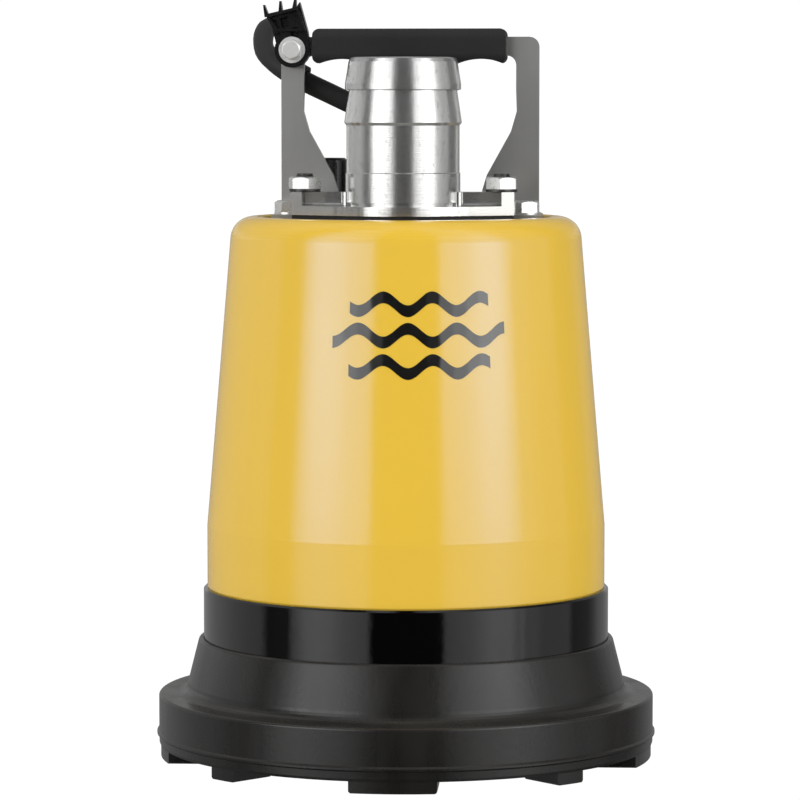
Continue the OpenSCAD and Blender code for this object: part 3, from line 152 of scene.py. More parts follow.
cable_points = smooth_line([CABLE_START] + CABLE_ROUTE, steps=4)[:-1] + coil_line()
cable_points += smooth_line(TAIL_ROUTE, steps=3)
power_cable = curve_piece("power_cable", cable_points, [CABLE_R] * len(cable_points))
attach(power_cable, "pump_body")
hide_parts("cable", "cable_coil", "cable_tail")


# Shader pieces. Every finish starts from one Principled shader and reads Object coordinates.
def add_node(tree, kind, inputs=None, **settings):
    """A node with its settings; each input takes a value or another node's output."""
    new = tree.nodes.new("ShaderNode" + kind)
    for name, value in settings.items():
        setattr(new, name, value)
    for name, value in (inputs or {}).items():
        if isinstance(value, bpy.types.NodeSocket):
            tree.links.new(value, new.inputs[name])
        else:
            new.inputs[name].default_value = value
    return new


def new_finish(name, colour, roughness, metallic=0.0, **sockets):
    """A material with constant values on its shader, and its node tree."""
    material = bpy.data.materials.new(name)
    material.use_nodes = True
    shader = material.node_tree.nodes["Principled BSDF"]
    shader.inputs["Base Color"].default_value = (*colour, 1)
    shader.inputs["Roughness"].default_value = roughness
    shader.inputs["Metallic"].default_value = metallic
    for socket, value in sockets.items():
        shader.inputs[socket.replace("_", " ")].default_value = value
    return material, material.node_tree, shader


def new_group(name, inputs, outputs):
    """An empty node group with named inputs and outputs."""
    tree = bpy.data.node_groups.new(name, "ShaderNodeTree")
    for label, value in inputs.items():
        socket = tree.interface.new_socket(label, in_out="INPUT", socket_type="NodeSocketFloat")
        socket.default_value = value
    for label, kind in outputs.items():
        tree.interface.new_socket(label, in_out="OUTPUT", socket_type="NodeSocket" + kind)
    return tree, tree.nodes.new("NodeGroupInput"), tree.nodes.new("NodeGroupOutput")


def use_group(tree, group, **inputs):
    """A group placed in a material, with its own values."""
    return add_node(tree, "Group", {k.replace("_", " "): v for k, v in inputs.items()},
                    node_tree=group)


def blend_colour(tree, factor, low, high):
    """A colour between two, or between another output and a colour, by a mask."""
    mix = add_node(tree, "Mix", data_type="RGBA")
    tree.links.new(factor, mix.inputs["Factor"])
    for socket, value in (("A", low), ("B", high)):
        target = [s for s in mix.inputs if s.name == socket and s.type == "RGBA"][0]
        if isinstance(value, bpy.types.NodeSocket):
            tree.links.new(value, target)
        else:
            target.default_value = (*value, 1)
    return [s for s in mix.outputs if s.type == "RGBA"][0]


def blend_value(tree, factor, low, high):
    """A number between two by a mask."""
    return add_node(tree, "MapRange", {"Value": factor, "To Min": low, "To Max": high}).outputs[0]


def feed(tree, shader, mask, tones=None, gloss=None):
    """Takes a finish's colour, its roughness, or both, from one value to another by a mask."""
    if tones:
        tree.links.new(blend_colour(tree, mask, *tones), shader.inputs["Base Color"])
    if gloss:
        tree.links.new(blend_value(tree, mask, *gloss), shader.inputs["Roughness"])


def feed_relief(tree, shader, height, strength, depth):
    """Raises and sinks a finish by a mask, to a depth in metres."""
    relief = add_node(tree, "Bump", {"Height": height, "Strength": strength, "Distance": depth})
    tree.links.new(relief.outputs[0], shader.inputs["Normal"])


# Mottle: cloudy patches or, when stretched along Z, upright streaks, as a mask.
mottle, group_in, group_out = new_group(
    "mottle", {"Scale": 60.0, "Stretch": 1.0, "Low": 0.35, "High": 0.65}, {"Mask": "Float"})
stretch = add_node(mottle, "CombineXYZ", {"X": 1.0, "Y": 1.0, "Z": group_in.outputs["Stretch"]})
place = add_node(mottle, "VectorMath", {0: add_node(mottle, "TexCoord").outputs["Object"],
                                        1: stretch.outputs[0]}, operation="MULTIPLY")
clouds = add_node(mottle, "TexNoise", {"Vector": place.outputs[0], "Detail": 5.0,
                                       "Roughness": 0.6, "Scale": group_in.outputs["Scale"]})
spread = add_node(mottle, "MapRange", {"Value": clouds.outputs[0],
                                       "From Min": group_in.outputs["Low"],
                                       "From Max": group_in.outputs["High"]})
mottle.links.new(spread.outputs[0], group_out.inputs["Mask"])

# Grain: the fine pebbled skin of moulded rubber, plastic and castings, as a normal.
grain, group_in, group_out = new_group(
    "grain", {"Scale": 900.0, "Strength": 0.3, "Depth": 0.0002}, {"Normal": "Vector"})
pebbles = add_node(grain, "TexNoise", {"Vector": add_node(grain, "TexCoord").outputs["Object"],
                                       "Detail": 3.0, "Scale": group_in.outputs["Scale"]})
skin = add_node(grain, "Bump", {"Height": pebbles.outputs[0],
                                "Strength": group_in.outputs["Strength"],
                                "Distance": group_in.outputs["Depth"]})
grain.links.new(skin.outputs[0], group_out.inputs["Normal"])

# Dust: what settles on surfaces that face up, in patches, as a mask.
dust, group_in, group_out = new_group(
    "dust", {"Amount": 0.5, "Scale": 40.0, "Steepness": 0.2}, {"Mask": "Float"})
facing = add_node(dust, "SeparateXYZ", {0: add_node(dust, "NewGeometry").outputs["Normal"]})
upward = add_node(dust, "MapRange", {"Value": facing.outputs["Z"],
                                     "From Min": group_in.outputs["Steepness"],
                                     "From Max": 1.0})
patches = use_group(dust, mottle, Scale=group_in.outputs["Scale"], Low=0.25, High=0.7)
settled = add_node(dust, "Math", {0: upward.outputs[0], 1: patches.outputs["Mask"]},
                   operation="MULTIPLY")
amount = add_node(dust, "Math", {0: settled.outputs[0], 1: group_in.outputs["Amount"]},
                  operation="MULTIPLY")
dust.links.new(amount.outputs[0], group_out.inputs["Mask"])


def feed_grain(tree, shader, **values):
    """Gives a finish the grain's skin."""
    tree.links.new(use_group(tree, grain, **values).outputs[0], shader.inputs["Normal"])


DUST_COLOUR = (0.13, 0.125, 0.115)


def rubber_finish(name, colour, roughness, pale, grain_scale=900.0, grain_strength=0.25,
                  dust_amount=0.35, specular=0.5):
    """Black rubber or plastic: pebbled, a little uneven in gloss, with dust where it faces up."""
    material, tree, shader = new_finish(name, colour, roughness, Specular_IOR_Level=specular)
    patch = use_group(tree, mottle, Scale=38.0)
    tint = blend_colour(tree, patch.outputs[0], colour, pale)
    settled = use_group(tree, dust, Amount=dust_amount)
    feed(tree, shader, settled.outputs[0], (tint, DUST_COLOUR))
    feed(tree, shader, patch.outputs[0], gloss=(roughness - 0.05, roughness + 0.08))
    feed_grain(tree, shader, Scale=grain_scale, Strength=grain_strength)
    return material


def give(material, *pieces):
    """Puts one material on CAD nodes, named as text, or on new pieces."""
    for piece in pieces:
        piece = nodes[piece] if isinstance(piece, str) else piece
        piece.data.materials.clear()
        piece.data.materials.append(material)


cable_rubber = rubber_finish("cable_rubber", (0.021, 0.021, 0.021), 0.5,
                             (0.026, 0.026, 0.026), grain_strength=0.12, dust_amount=0.03,
                             specular=0.22)

# Bend relief: a tapered rubber sleeve with rings, moulded on the cable over the gland.
RELIEF_STEPS, RELIEF_R, RELIEF_TAPER, RELIEF_LEAST_R = 30, 6.6, 1.5, 4.85
RING_DEPTH, RING_PITCH, PLAIN_STEPS = 0.6, 4, 5
relief_line = smooth_line(CABLE_ROUTE[:4], steps=18)[:RELIEF_STEPS + 1]
relief_radii = []
for i in range(RELIEF_STEPS + 1):
    groove = RING_DEPTH if i > PLAIN_STEPS and i % RING_PITCH < RING_PITCH / 2 else 0
    relief_radii.append(max(RELIEF_R - RELIEF_TAPER * i / RELIEF_STEPS - groove, RELIEF_LEAST_R))
bend_relief = curve_piece("bend_relief", relief_line, relief_radii, sides=6)
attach(bend_relief, "pump_body")
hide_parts("cable_relief")
give(cable_rubber, power_cable, bend_relief)


def deselect():
    """Leaves nothing selected, so that an operator acts on the new piece alone."""
    for piece in bpy.context.selected_objects:
        piece.select_set(False)


def pick_faces(mesh, test):
    """In edit mode, selects only the faces that pass a test."""
    bpy.ops.mesh.select_mode(type="FACE")
    bpy.ops.mesh.select_all(action="DESELECT")
    bpy.ops.object.mode_set(mode="OBJECT")
    for face in mesh.polygons:
        face.select = test(face)
    bpy.ops.object.mode_set(mode="EDIT")


def pick_edges(mesh, test):
    """In edit mode, selects only the edges whose two ends pass a test."""
    bpy.ops.mesh.select_mode(type="EDGE")
    bpy.ops.mesh.select_all(action="DESELECT")
    bpy.ops.object.mode_set(mode="OBJECT")
    for edge in mesh.edges:
        edge.select = test(*(mesh.vertices[i].co for i in edge.vertices))
    bpy.ops.object.mode_set(mode="EDIT")


# Two straps of woven tape hold the coil together. Each is a flat band round the turns. From
# here on lengths are in metres.
STRAP_HALF_W, STRAP_HALF_H, STRAP_TAPE = 0.0248, 0.0194, 0.016
STRAP_THICK, STRAP_CORNER = 0.0009, 0.0045
COIL_MEAN_R = COIL_COLUMNS[2] / 1000
strap_tape, tree, shader = new_finish("strap_tape", (0.03, 0.03, 0.031), 0.7)
threads = add_node(tree, "TexWave", {"Vector": add_node(tree, "TexCoord").outputs["Object"],
                                     "Scale": 900.0, "Distortion": 1.2},
                   wave_type="BANDS", bands_direction="DIAGONAL")
feed(tree, shader, threads.outputs["Fac"], ((0.016, 0.016, 0.017), (0.045, 0.045, 0.046)))
feed_relief(tree, shader, threads.outputs["Fac"], 0.5, 0.0003)


def coil_strap(name, angle):
    """A strap at one place of the coil: a tube of tape, drawn from a box without its sides."""
    deselect()
    bpy.ops.mesh.primitive_cube_add(size=1, location=(0, 0, 0))
    strap = bpy.context.object
    strap.name = name
    bpy.ops.object.mode_set(mode="EDIT")
    bpy.ops.transform.resize(value=(2 * STRAP_HALF_W, STRAP_TAPE, 2 * STRAP_HALF_H))
    pick_faces(strap.data, lambda face: abs(face.normal.y) > 0.9)
    bpy.ops.mesh.delete(type="FACE")
    pick_edges(strap.data, lambda a, b: abs(a.y - b.y) > 0.01)
    bpy.ops.mesh.bevel(offset=STRAP_CORNER, segments=5, affect="EDGES")
    bpy.ops.object.mode_set(mode="OBJECT")
    tape = strap.modifiers.new("tape", "SOLIDIFY")
    tape.thickness = STRAP_THICK
    tape.offset = 1.0
    bpy.ops.object.modifier_apply(modifier=tape.name)
    spin = math.radians(angle)
    place = Matrix.Translation((
        COIL_CENTRE.x / 1000 + COIL_MEAN_R * math.cos(spin),
        COIL_CENTRE.y / 1000 + COIL_MEAN_R * math.sin(spin), STRAP_HALF_H + STRAP_THICK))
    strap.data.transform(place @ Matrix.Rotation(spin, 4, "Z"))
    bpy.ops.object.shade_smooth_by_angle(angle=math.radians(40))
    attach(strap, "pump_body")
    give(strap_tape, strap)
    return strap


straps = [coil_strap("coil_strap_right", -20), coil_strap("coil_strap_left", 250)]

# ---------------------------------------------------------------------------------------------
# Studio. A white floor and white surroundings, and two tall soft boxes in front, which give the
# upright bands of light on the gloss and the metal. Shiny pieces reflect the room, not the floor.
FLOOR_SIZE, FLOOR_PAINT, STUDIO_WHITE = 12, 0.92, 1.04
bpy.ops.mesh.primitive_plane_add(size=FLOOR_SIZE, location=(0, 0, 0))
floor = bpy.context.object
floor.name = "studio_floor"
floor_paint = bpy.data.materials.new("floor_paint")
floor_paint.use_nodes = True
tree = floor_paint.node_tree
tree.nodes.clear()
paint = add_node(tree, "BsdfDiffuse", {"Color": (FLOOR_PAINT, FLOOR_PAINT, FLOOR_PAINT, 1)})
lit = add_node(tree, "Emission", {"Color": (1, 1, 1, 1), "Strength": STUDIO_WHITE})
ray = add_node(tree, "LightPath")
pick = add_node(tree, "MixShader", {0: ray.outputs["Is Camera Ray"], 1: paint.outputs[0],
                                    2: lit.outputs[0]})
add_node(tree, "OutputMaterial", {"Surface": pick.outputs[0]})
floor.data.materials.append(floor_paint)
floor.visible_glossy = False

# Brightness by the direction, in degrees to the right of the camera, of the soft boxes, which
# are brightest near their outer edges, and of the pale walls past them
BOX_BANDS = [
    (-180, 0), (-70, 0), (-66, 0.60), (-58, 1.15), (-51, 1.25), (-43, 1.15), (-36, 0.88),
    (-22, 0.62), (-19, 0), (20, 0), (22, 0.55), (36, 0.78), (50, 1.22), (61, 1.18), (68, 0.62),
    (71, 0), (180, 0),
]
WALL_BANDS = [
    (-178, 0.30), (-125, 0.46), (-90, 0.42), (-84, 0.07), (-70, 0.10), (-66, 0.02), (66, 0.02),
    (70, 0.64), (78, 0.60), (84, 0.45), (104, 0.37), (109, 0.12), (126, 0.12), (140, 0.30),
    (178, 0.30),
]
# Their gain by the direction's height in degrees: the boxes hang high and fade to the floor
BOX_HEIGHTS = [(-90, 0.2), (-20, 0.4), (-10, 0.85), (-6, 1.0), (-1, 1.5), (2, 2.6), (5, 4.0),
               (8, 4.0), (12, 2.4), (18, 1.8), (35, 1.8), (50, 1.0), (90, 0.6)]
WALL_HEIGHTS = [(-90, 0.4), (-20, 0.5), (-10, 0.9), (-6, 1.0), (2, 1.1), (5, 1.6), (8, 1.6),
                (12, 1.1), (35, 0.9), (60, 1.2), (90, 0.8)]
BAND_PEAK, HEIGHT_PEAK = 1.25, 4.0
BRIGHTEST = BAND_PEAK * HEIGHT_PEAK


def add_ramp(tree, stops, value):
    """A grey ramp through stops of place and level."""
    ramp = add_node(tree, "ValToRGB", {"Fac": value})
    while len(ramp.color_ramp.elements) < len(stops):
        ramp.color_ramp.elements.new(0.5)
    for element, (place, level) in zip(ramp.color_ramp.elements, stops):
        element.position = place
        element.color = (level, level, level, 1)
    return ramp.outputs["Color"]


world = bpy.data.worlds.new("studio")
bpy.context.scene.world = world
world.use_nodes = True
tree = world.node_tree
tree.nodes.clear()
way = add_node(tree, "SeparateXYZ", {0: add_node(tree, "TexCoord").outputs["Generated"]})
front = add_node(tree, "Math", {0: way.outputs["Y"], 1: -1.0}, operation="MULTIPLY")
turn = add_node(tree, "Math", {0: way.outputs["X"], 1: front.outputs[0]}, operation="ARCTAN2")
turn_share = add_node(tree, "MapRange", {"Value": turn.outputs[0], "From Min": -math.pi + VIEW_TURN,
                                         "From Max": math.pi + VIEW_TURN}, clamp=False)
wrap = add_node(tree, "Math", {0: turn_share.outputs[0], 1: 1.0}, operation="FLOORED_MODULO")
height_share = add_node(tree, "MapRange", {"Value": way.outputs["Z"], "From Min": -1.0,
                                           "From Max": 1.0})
glowing = []
for bands, heights in ((BOX_BANDS, BOX_HEIGHTS), (WALL_BANDS, WALL_HEIGHTS)):
    round_stops = [((a + 180) / 360, v / BAND_PEAK) for a, v in bands]
    height_stops = [(0.5 + 0.5 * math.sin(math.radians(a)), v / HEIGHT_PEAK) for a, v in heights]
    round_it = add_ramp(tree, round_stops, wrap.outputs[0])
    up_it = add_ramp(tree, height_stops, height_share.outputs[0])
    glowing.append(add_node(tree, "VectorMath", {0: round_it, 1: up_it}, operation="MULTIPLY"))
room = add_node(tree, "VectorMath", {0: glowing[0].outputs[0], 1: glowing[1].outputs[0]})
ray = add_node(tree, "LightPath")
seen = blend_colour(tree, ray.outputs["Is Camera Ray"], room.outputs[0],
                    (STUDIO_WHITE / BRIGHTEST,) * 3)
background = add_node(tree, "Background", {"Color": seen, "Strength": BRIGHTEST})
add_node(tree, "OutputWorld", {"Surface": background.outputs[0]})


def soft_light(name, size, energy, place, aim_at):
    """A large lamp that fills the shadows and shows in no reflection."""
    lamp_data = bpy.data.lights.new(name, "AREA")
    lamp_data.size = size
    lamp_data.energy = energy
    lamp = bpy.data.objects.new(name, lamp_data)
    bpy.context.scene.collection.objects.link(lamp)
    lamp.location = place
    lamp.rotation_euler = (aim_at - place).to_track_quat("-Z", "Y").to_euler()
    lamp.visible_glossy = False


pump_middle = Vector((0, 0, 0.16))
soft_light("overhead_fill", 1.4, 10, Vector((0, -0.2, 1.9)), pump_middle)
soft_light("left_fill", 1.6, 12, Vector((-2.2, -0.9, 0.5)), pump_middle)
soft_light("right_fill", 1.6, 11, Vector((2.3, -0.8, 0.5)), pump_middle)

# ---------------------------------------------------------------------------------------------
# Rubber skirt. One soft black moulding: feet, flange and flared neck. It is stretched over the
# casing ring's foot, and stands in dirty water, so it is streaked and dusty on its flange.
skirt_rubber, tree, shader = new_finish("skirt_rubber", (0.010, 0.009, 0.0086), 0.32,
                                        Specular_IOR_Level=0.5)
stains = use_group(tree, mottle, Scale=26.0, Stretch=0.45, Low=0.42, High=0.68)
streaks = use_group(tree, mottle, Scale=70.0, Stretch=0.12, Low=0.45, High=0.75)
bloom = blend_colour(tree, stains.outputs[0], (0.0076, 0.0068, 0.0062), (0.0125, 0.0113, 0.0103))
bloom = blend_colour(tree, streaks.outputs[0], bloom, (0.012, 0.0108, 0.0098))
settled = use_group(tree, dust, Amount=0.30, Scale=24.0, Steepness=0.5)
feed(tree, shader, settled.outputs[0], (bloom, (0.10, 0.092, 0.078)))
feed(tree, shader, streaks.outputs[0], gloss=(0.27, 0.36))
feed_grain(tree, shader, Scale=420.0, Strength=0.15, Depth=0.0003)
give(skirt_rubber, "rubber_skirt")

# ---------------------------------------------------------------------------------------------
# Suction side. A perforated stainless base plate, a cast wear plate above it, and eight zinc
# plated pan-head screws that hold both to the casing ring from below. The castings inside the
# pump and its other screws have the same finishes.
stainless_sheet, tree, shader = new_finish("stainless_sheet", (0.52, 0.52, 0.51), 0.32, 1.0)
rub = use_group(tree, mottle, Scale=260.0, Stretch=0.03, Low=0.3, High=0.7)
feed(tree, shader, rub.outputs[0], gloss=(0.26, 0.42))
give(stainless_sheet, "base_plate")

cast_metal, tree, shader = new_finish("cast_metal", (0.42, 0.42, 0.41), 0.45, 0.85)
patch = use_group(tree, mottle, Scale=90.0)
feed(tree, shader, patch.outputs[0], ((0.34, 0.34, 0.335), (0.52, 0.52, 0.51)), (0.36, 0.56))
feed_grain(tree, shader, Scale=700.0, Strength=0.5, Depth=0.0003)
give(cast_metal, "wear_plate", "top_cover", "motor_housing", "seal_housing", "impeller")

zinc_plate, tree, shader = new_finish("zinc_plate", (0.78, 0.78, 0.76), 0.25, 0.82)
patch = use_group(tree, mottle, Scale=260.0)
feed(tree, shader, patch.outputs[0], ((0.77, 0.77, 0.76), (0.81, 0.81, 0.795)), (0.26, 0.30))
give(zinc_plate, "base_screws", "housing_screws", "valve_pin", "clip_nut")

# ---------------------------------------------------------------------------------------------
# Casing ring. Cast iron under thick black enamel, smooth enough to mirror the room, with a
# slight orange peel.
black_enamel, tree, shader = new_finish("black_enamel", (0.0008, 0.0007, 0.0007), 0.05,
                                        Specular_IOR_Level=0.75)
feed_grain(tree, shader, Scale=110.0, Strength=0.10, Depth=0.0006)
film = use_group(tree, mottle, Scale=30.0, Stretch=0.4, Low=0.4, High=0.8)
feed(tree, shader, film.outputs[0], gloss=(0.04, 0.10))
give(black_enamel, "casing_ring")

# ---------------------------------------------------------------------------------------------
# Outer shell. Drawn sheet under glossy yellow enamel, clamped between the casing ring and the
# cover. Three plain wave lines, a common sign for water, are screen printed on its front in
# black, turned a little to the pump's right.
yellow_enamel, tree, shader = new_finish("yellow_enamel", (0.81, 0.52, 0.053), 0.13,
                                         Specular_IOR_Level=0.85,
                                         Specular_Tint=(0.18, 0.48, 1.0, 1))
cloud = use_group(tree, mottle, Scale=14.0, Stretch=0.6, Low=0.3, High=0.75)
feed(tree, shader, cloud.outputs[0], ((0.810, 0.521, 0.054), (0.786, 0.506, 0.052)), (0.11, 0.16))
feed_grain(tree, shader, Scale=130.0, Strength=0.08, Depth=0.0005)
give(yellow_enamel, "outer_shell")

SIGN_TURN, SIGN_Z, SIGN_R = math.radians(8.8), 0.1936, 0.083
# Each line's height over the sign's middle, and half its length
SIGN_ROWS = [(0.0135, 0.0305), (0.0, 0.0375), (-0.0135, 0.0305)]
SIGN_WAVE, SIGN_SWELL, SIGN_HALF_LINE = 0.0215, 0.0030, 0.00255
SIGN_STEPS, SIGN_SEAT, SIGN_FILM = 72, 0.00002, 0.00012
printed_ink, tree, shader = new_finish("printed_ink", (0.006, 0.006, 0.006), 0.16,
                                       Specular_IOR_Level=0.7)
patch = use_group(tree, mottle, Scale=60.0)
feed(tree, shader, patch.outputs[0], ((0.005, 0.005, 0.005), (0.008, 0.008, 0.007)), (0.13, 0.2))


def printed_wave(row, height, reach):
    """One wave line of ink, drawn round the shell's middle and laid on it."""
    deselect()
    bpy.ops.mesh.primitive_grid_add(x_subdivisions=SIGN_STEPS, y_subdivisions=2, size=1)
    wave = bpy.context.object
    for corner in wave.data.vertices:
        x = 2 * reach * corner.co.x
        swell = SIGN_SWELL * math.sin(2 * math.pi * x / SIGN_WAVE + math.pi * (row % 2))
        corner.co = (x, -math.sqrt(SIGN_R ** 2 - x ** 2),
                     SIGN_Z + height + swell + 2 * SIGN_HALF_LINE * corner.co.y)
    wave.data.transform(Matrix.Rotation(SIGN_TURN, 4, "Z"))
    laid = wave.modifiers.new("laid", "SHRINKWRAP")
    laid.target = nodes["outer_shell"]
    laid.wrap_method = "NEAREST_SURFACEPOINT"
    laid.wrap_mode = "ABOVE_SURFACE"
    laid.offset = SIGN_SEAT
    bpy.ops.object.modifier_apply(modifier=laid.name)
    film = wave.modifiers.new("film", "SOLIDIFY")
    film.thickness = SIGN_FILM
    film.offset = 1.0
    bpy.ops.object.modifier_apply(modifier=film.name)
    return wave


def join_pieces(name, pieces):
    """One piece made of several."""
    deselect()
    for piece in pieces:
        piece.select_set(True)
    bpy.context.view_layer.objects.active = pieces[0]
    bpy.ops.object.join()
    joined = bpy.context.object
    joined.name = name
    return joined


water_sign = join_pieces(
    "water_sign", [printed_wave(row, *size) for row, size in enumerate(SIGN_ROWS)])
bpy.ops.object.mode_set(mode="EDIT")
bpy.ops.mesh.select_all(action="SELECT")
bpy.ops.mesh.normals_make_consistent(inside=False)
bpy.ops.object.mode_set(mode="OBJECT")
bpy.ops.object.shade_smooth_by_angle(angle=math.radians(30))
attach(water_sign, "pump_body")
give(printed_ink, water_sign)

# ---------------------------------------------------------------------------------------------
# Hose tail. Cast aluminium: the stem and barbs are turned bright, and the ears, webs and posts
# keep the casting's skin. Fine turning lines, rubs and small dull spots show on the stem.
TAIL_Y, STEM_EDGE_R, CAST_FROM_R = -0.017, 0.0340, 0.0352
turned, group_in, group_out = new_group(
    "turned", {"Centre Y": 0.0, "Scale": 1500.0, "Strength": 0.3},
    {"Normal": "Vector", "Lines": "Float", "Radius": "Float"})
point = add_node(turned, "SeparateXYZ", {0: add_node(turned, "TexCoord").outputs["Object"]})
depth = add_node(turned, "Math", {0: point.outputs["Y"], 1: group_in.outputs["Centre Y"]},
                 operation="SUBTRACT")
across = add_node(turned, "CombineXYZ", {"X": point.outputs["X"], "Y": depth.outputs[0]})
radius = add_node(turned, "VectorMath", {0: across.outputs[0]}, operation="LENGTH")
ring = add_node(turned, "CombineXYZ", {"X": radius.outputs["Value"], "Z": point.outputs["Z"]})
lines = add_node(turned, "TexNoise", {"Vector": ring.outputs[0], "Detail": 2.0,
                                      "Scale": group_in.outputs["Scale"]})
ridges = add_node(turned, "Bump", {"Height": lines.outputs[0], "Distance": 0.0001,
                                   "Strength": group_in.outputs["Strength"]})
turned.links.new(ridges.outputs[0], group_out.inputs["Normal"])
turned.links.new(lines.outputs[0], group_out.inputs["Lines"])
turned.links.new(radius.outputs["Value"], group_out.inputs["Radius"])

tail_metal, tree, shader = new_finish("tail_metal", (0.66, 0.66, 0.65), 0.18, 0.9)
lathe_marks = use_group(tree, turned, Centre_Y=TAIL_Y, Scale=1400.0, Strength=0.2)
cast_part = add_node(tree, "MapRange", {"Value": lathe_marks.outputs["Radius"],
                                        "From Min": STEM_EDGE_R, "From Max": CAST_FROM_R})
rubs = use_group(tree, mottle, Scale=240.0, Stretch=0.12, Low=0.35, High=0.72)
spots = use_group(tree, mottle, Scale=520.0, Stretch=0.5, Low=0.55, High=0.72)
bright = blend_colour(tree, rubs.outputs[0], (0.68, 0.68, 0.67), (0.60, 0.60, 0.595))
bright = blend_colour(tree, spots.outputs[0], bright, (0.49, 0.485, 0.475))
smooth_part = blend_value(tree, rubs.outputs[0], 0.17, 0.26)
feed(tree, shader, cast_part.outputs[0], (bright, (0.54, 0.535, 0.52)), (smooth_part, 0.27))
casting = use_group(tree, grain, Scale=1100.0, Strength=0.12, Depth=0.0002)
skin = add_node(tree, "Mix", data_type="VECTOR")
MIX_FACTOR, MIX_A, MIX_B = 0, 4, 5  # the places of the vector sockets on a Mix node
for socket, value in ((MIX_FACTOR, cast_part.outputs[0]), (MIX_A, lathe_marks.outputs["Normal"]),
                      (MIX_B, casting.outputs["Normal"])):
    tree.links.new(value, skin.inputs[socket])
rubbed = use_group(tree, mottle, Scale=420.0, Stretch=0.10, Low=0.3, High=0.7)
scuffs = add_node(tree, "Bump", {"Height": rubbed.outputs[0], "Strength": 0.22,
                                 "Distance": 0.00006, "Normal": skin.outputs[1]})
tree.links.new(scuffs.outputs[0], shader.inputs["Normal"])
give(tail_metal, "hose_tail")

# ---------------------------------------------------------------------------------------------
# Studs, nuts and washers of the hose tail. The studs' ends are threaded and cut by a die, and the
# nuts are bright zinc plated. Studs and washers are dark steel, painted shade for the shadow on the
# stud ends and in the gap under the nuts.
THREAD_PITCH, THREAD_ROOT, THREAD_TURNS = 0.00125, 0.00355, 9
THREAD_FLANK, THREAD_FLAT, THREAD_CHAMFER = 0.4 * THREAD_PITCH, 0.1 * THREAD_PITCH, 0.0004
shade_dark_steel, tree, shader = new_finish("shade_dark_steel", (0.075, 0.073, 0.070), 0.38, 1.0)
patch = use_group(tree, mottle, Scale=500.0)
feed(tree, shader, patch.outputs[0], ((0.05, 0.05, 0.048), (0.13, 0.125, 0.12)), (0.3, 0.5))
stud_low, stud_high = (Vector(corner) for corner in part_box("tail_studs"))
stud_r = 0.004
thread_low = stud_high.z - THREAD_TURNS * THREAD_PITCH


def threaded_stud(x):
    """A rod with the grooves of a thread at its top, drawn up step by step from a disc."""
    deselect()
    bpy.ops.mesh.primitive_circle_add(vertices=40, radius=stud_r, fill_type="NGON",
                                      location=(0, 0, 0))
    stud = bpy.context.object
    bpy.ops.object.mode_set(mode="EDIT")
    bpy.ops.mesh.select_all(action="SELECT")

    def rise(height, r_from, r_to):
        """Draws the top face up by a height, from one radius to another."""
        bpy.ops.mesh.extrude_region_move(TRANSFORM_OT_translate={"value": (0, 0, height)})
        share = r_to / r_from
        bpy.ops.transform.resize(value=(share, share, 1))

    rise(thread_low - stud_low.z, stud_r, stud_r)
    for turn in range(THREAD_TURNS):
        last = turn == THREAD_TURNS - 1
        crest, end = (THREAD_ROOT, THREAD_ROOT - THREAD_CHAMFER) if last else (stud_r, stud_r)
        rise(THREAD_FLANK, stud_r, THREAD_ROOT)
        rise(THREAD_FLAT, THREAD_ROOT, THREAD_ROOT)
        rise(THREAD_FLANK, THREAD_ROOT, crest)
        rise(THREAD_FLAT, crest, end)
    bpy.ops.mesh.select_all(action="SELECT")
    bpy.ops.mesh.normals_make_consistent(inside=False)
    bpy.ops.object.mode_set(mode="OBJECT")
    stud.data.transform(Matrix.Translation((x, TAIL_Y, stud_low.z)))
    return stud


stud_x = stud_high.x - stud_r
threaded_studs = join_pieces("threaded_studs", [threaded_stud(x) for x in (-stud_x, stud_x)])
bpy.ops.object.shade_smooth_by_angle(angle=math.radians(20))
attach(threaded_studs, "pump_body")
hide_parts("tail_studs")
# Painted shade: the dark steel on the studs stands for the shadow on their ends.
give(shade_dark_steel, threaded_studs)

# A copied mesh has its corners merged within a distance, and its faces joined under an angle
WELD_DISTANCE, FLAT_ANGLE = 0.000002, math.radians(0.6)


def eased_copy(name, node_name, width, finish, angle=32):
    """Stands for a CAD node: the same solid with its sharp edges broken to a width."""
    deselect()
    piece = bpy.data.objects.new(name, nodes[node_name].data.copy())
    bpy.context.scene.collection.objects.link(piece)
    bpy.context.view_layer.objects.active = piece
    piece.select_set(True)
    bpy.ops.object.mode_set(mode="EDIT")
    bpy.ops.mesh.select_all(action="SELECT")
    bpy.ops.mesh.remove_doubles(threshold=WELD_DISTANCE)
    bpy.ops.mesh.dissolve_limited(angle_limit=FLAT_ANGLE)
    bpy.ops.object.mode_set(mode="OBJECT")
    bpy.ops.mesh.customdata_custom_splitnormals_clear()
    rounding = piece.modifiers.new("rounding", "BEVEL")
    rounding.width = width
    rounding.segments = 2
    rounding.limit_method = "ANGLE"
    rounding.angle_limit = math.radians(angle)
    rounding.miter_outer = "MITER_ARC"
    bpy.ops.object.modifier_apply(modifier=rounding.name)
    bpy.ops.object.shade_smooth_by_angle(angle=math.radians(angle))
    flats = piece.modifiers.new("flats", "WEIGHTED_NORMAL")
    flats.keep_sharp = True
    bpy.ops.object.modifier_apply(modifier=flats.name)
    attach(piece, "pump_body")
    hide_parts(node_name)
    give(finish, piece)


eased_copy("bright_nuts", "tail_nuts", 0.00022, zinc_plate)
# Painted shade: the black washers stand for the shadow in the gap under the nuts.
eased_copy("black_washers", "tail_washers", 0.0002, shade_dark_steel)

# ---------------------------------------------------------------------------------------------
# Soft black rubber pieces: a thick gasket under the hose tail and a thin one under the cover, the
# flap that closes the hose tail when the pump stops, the O-ring, the seals, and the cable's band.
gasket_rubber = rubber_finish("gasket_rubber", (0.012, 0.0115, 0.011), 0.55,
                              (0.018, 0.017, 0.016), dust_amount=0.08, specular=0.3)
give(gasket_rubber, "valve_gasket", "cover_gasket", "valve_flap", "casing_o_ring", "lip_seal",
     "gland_seal", "cable_band")

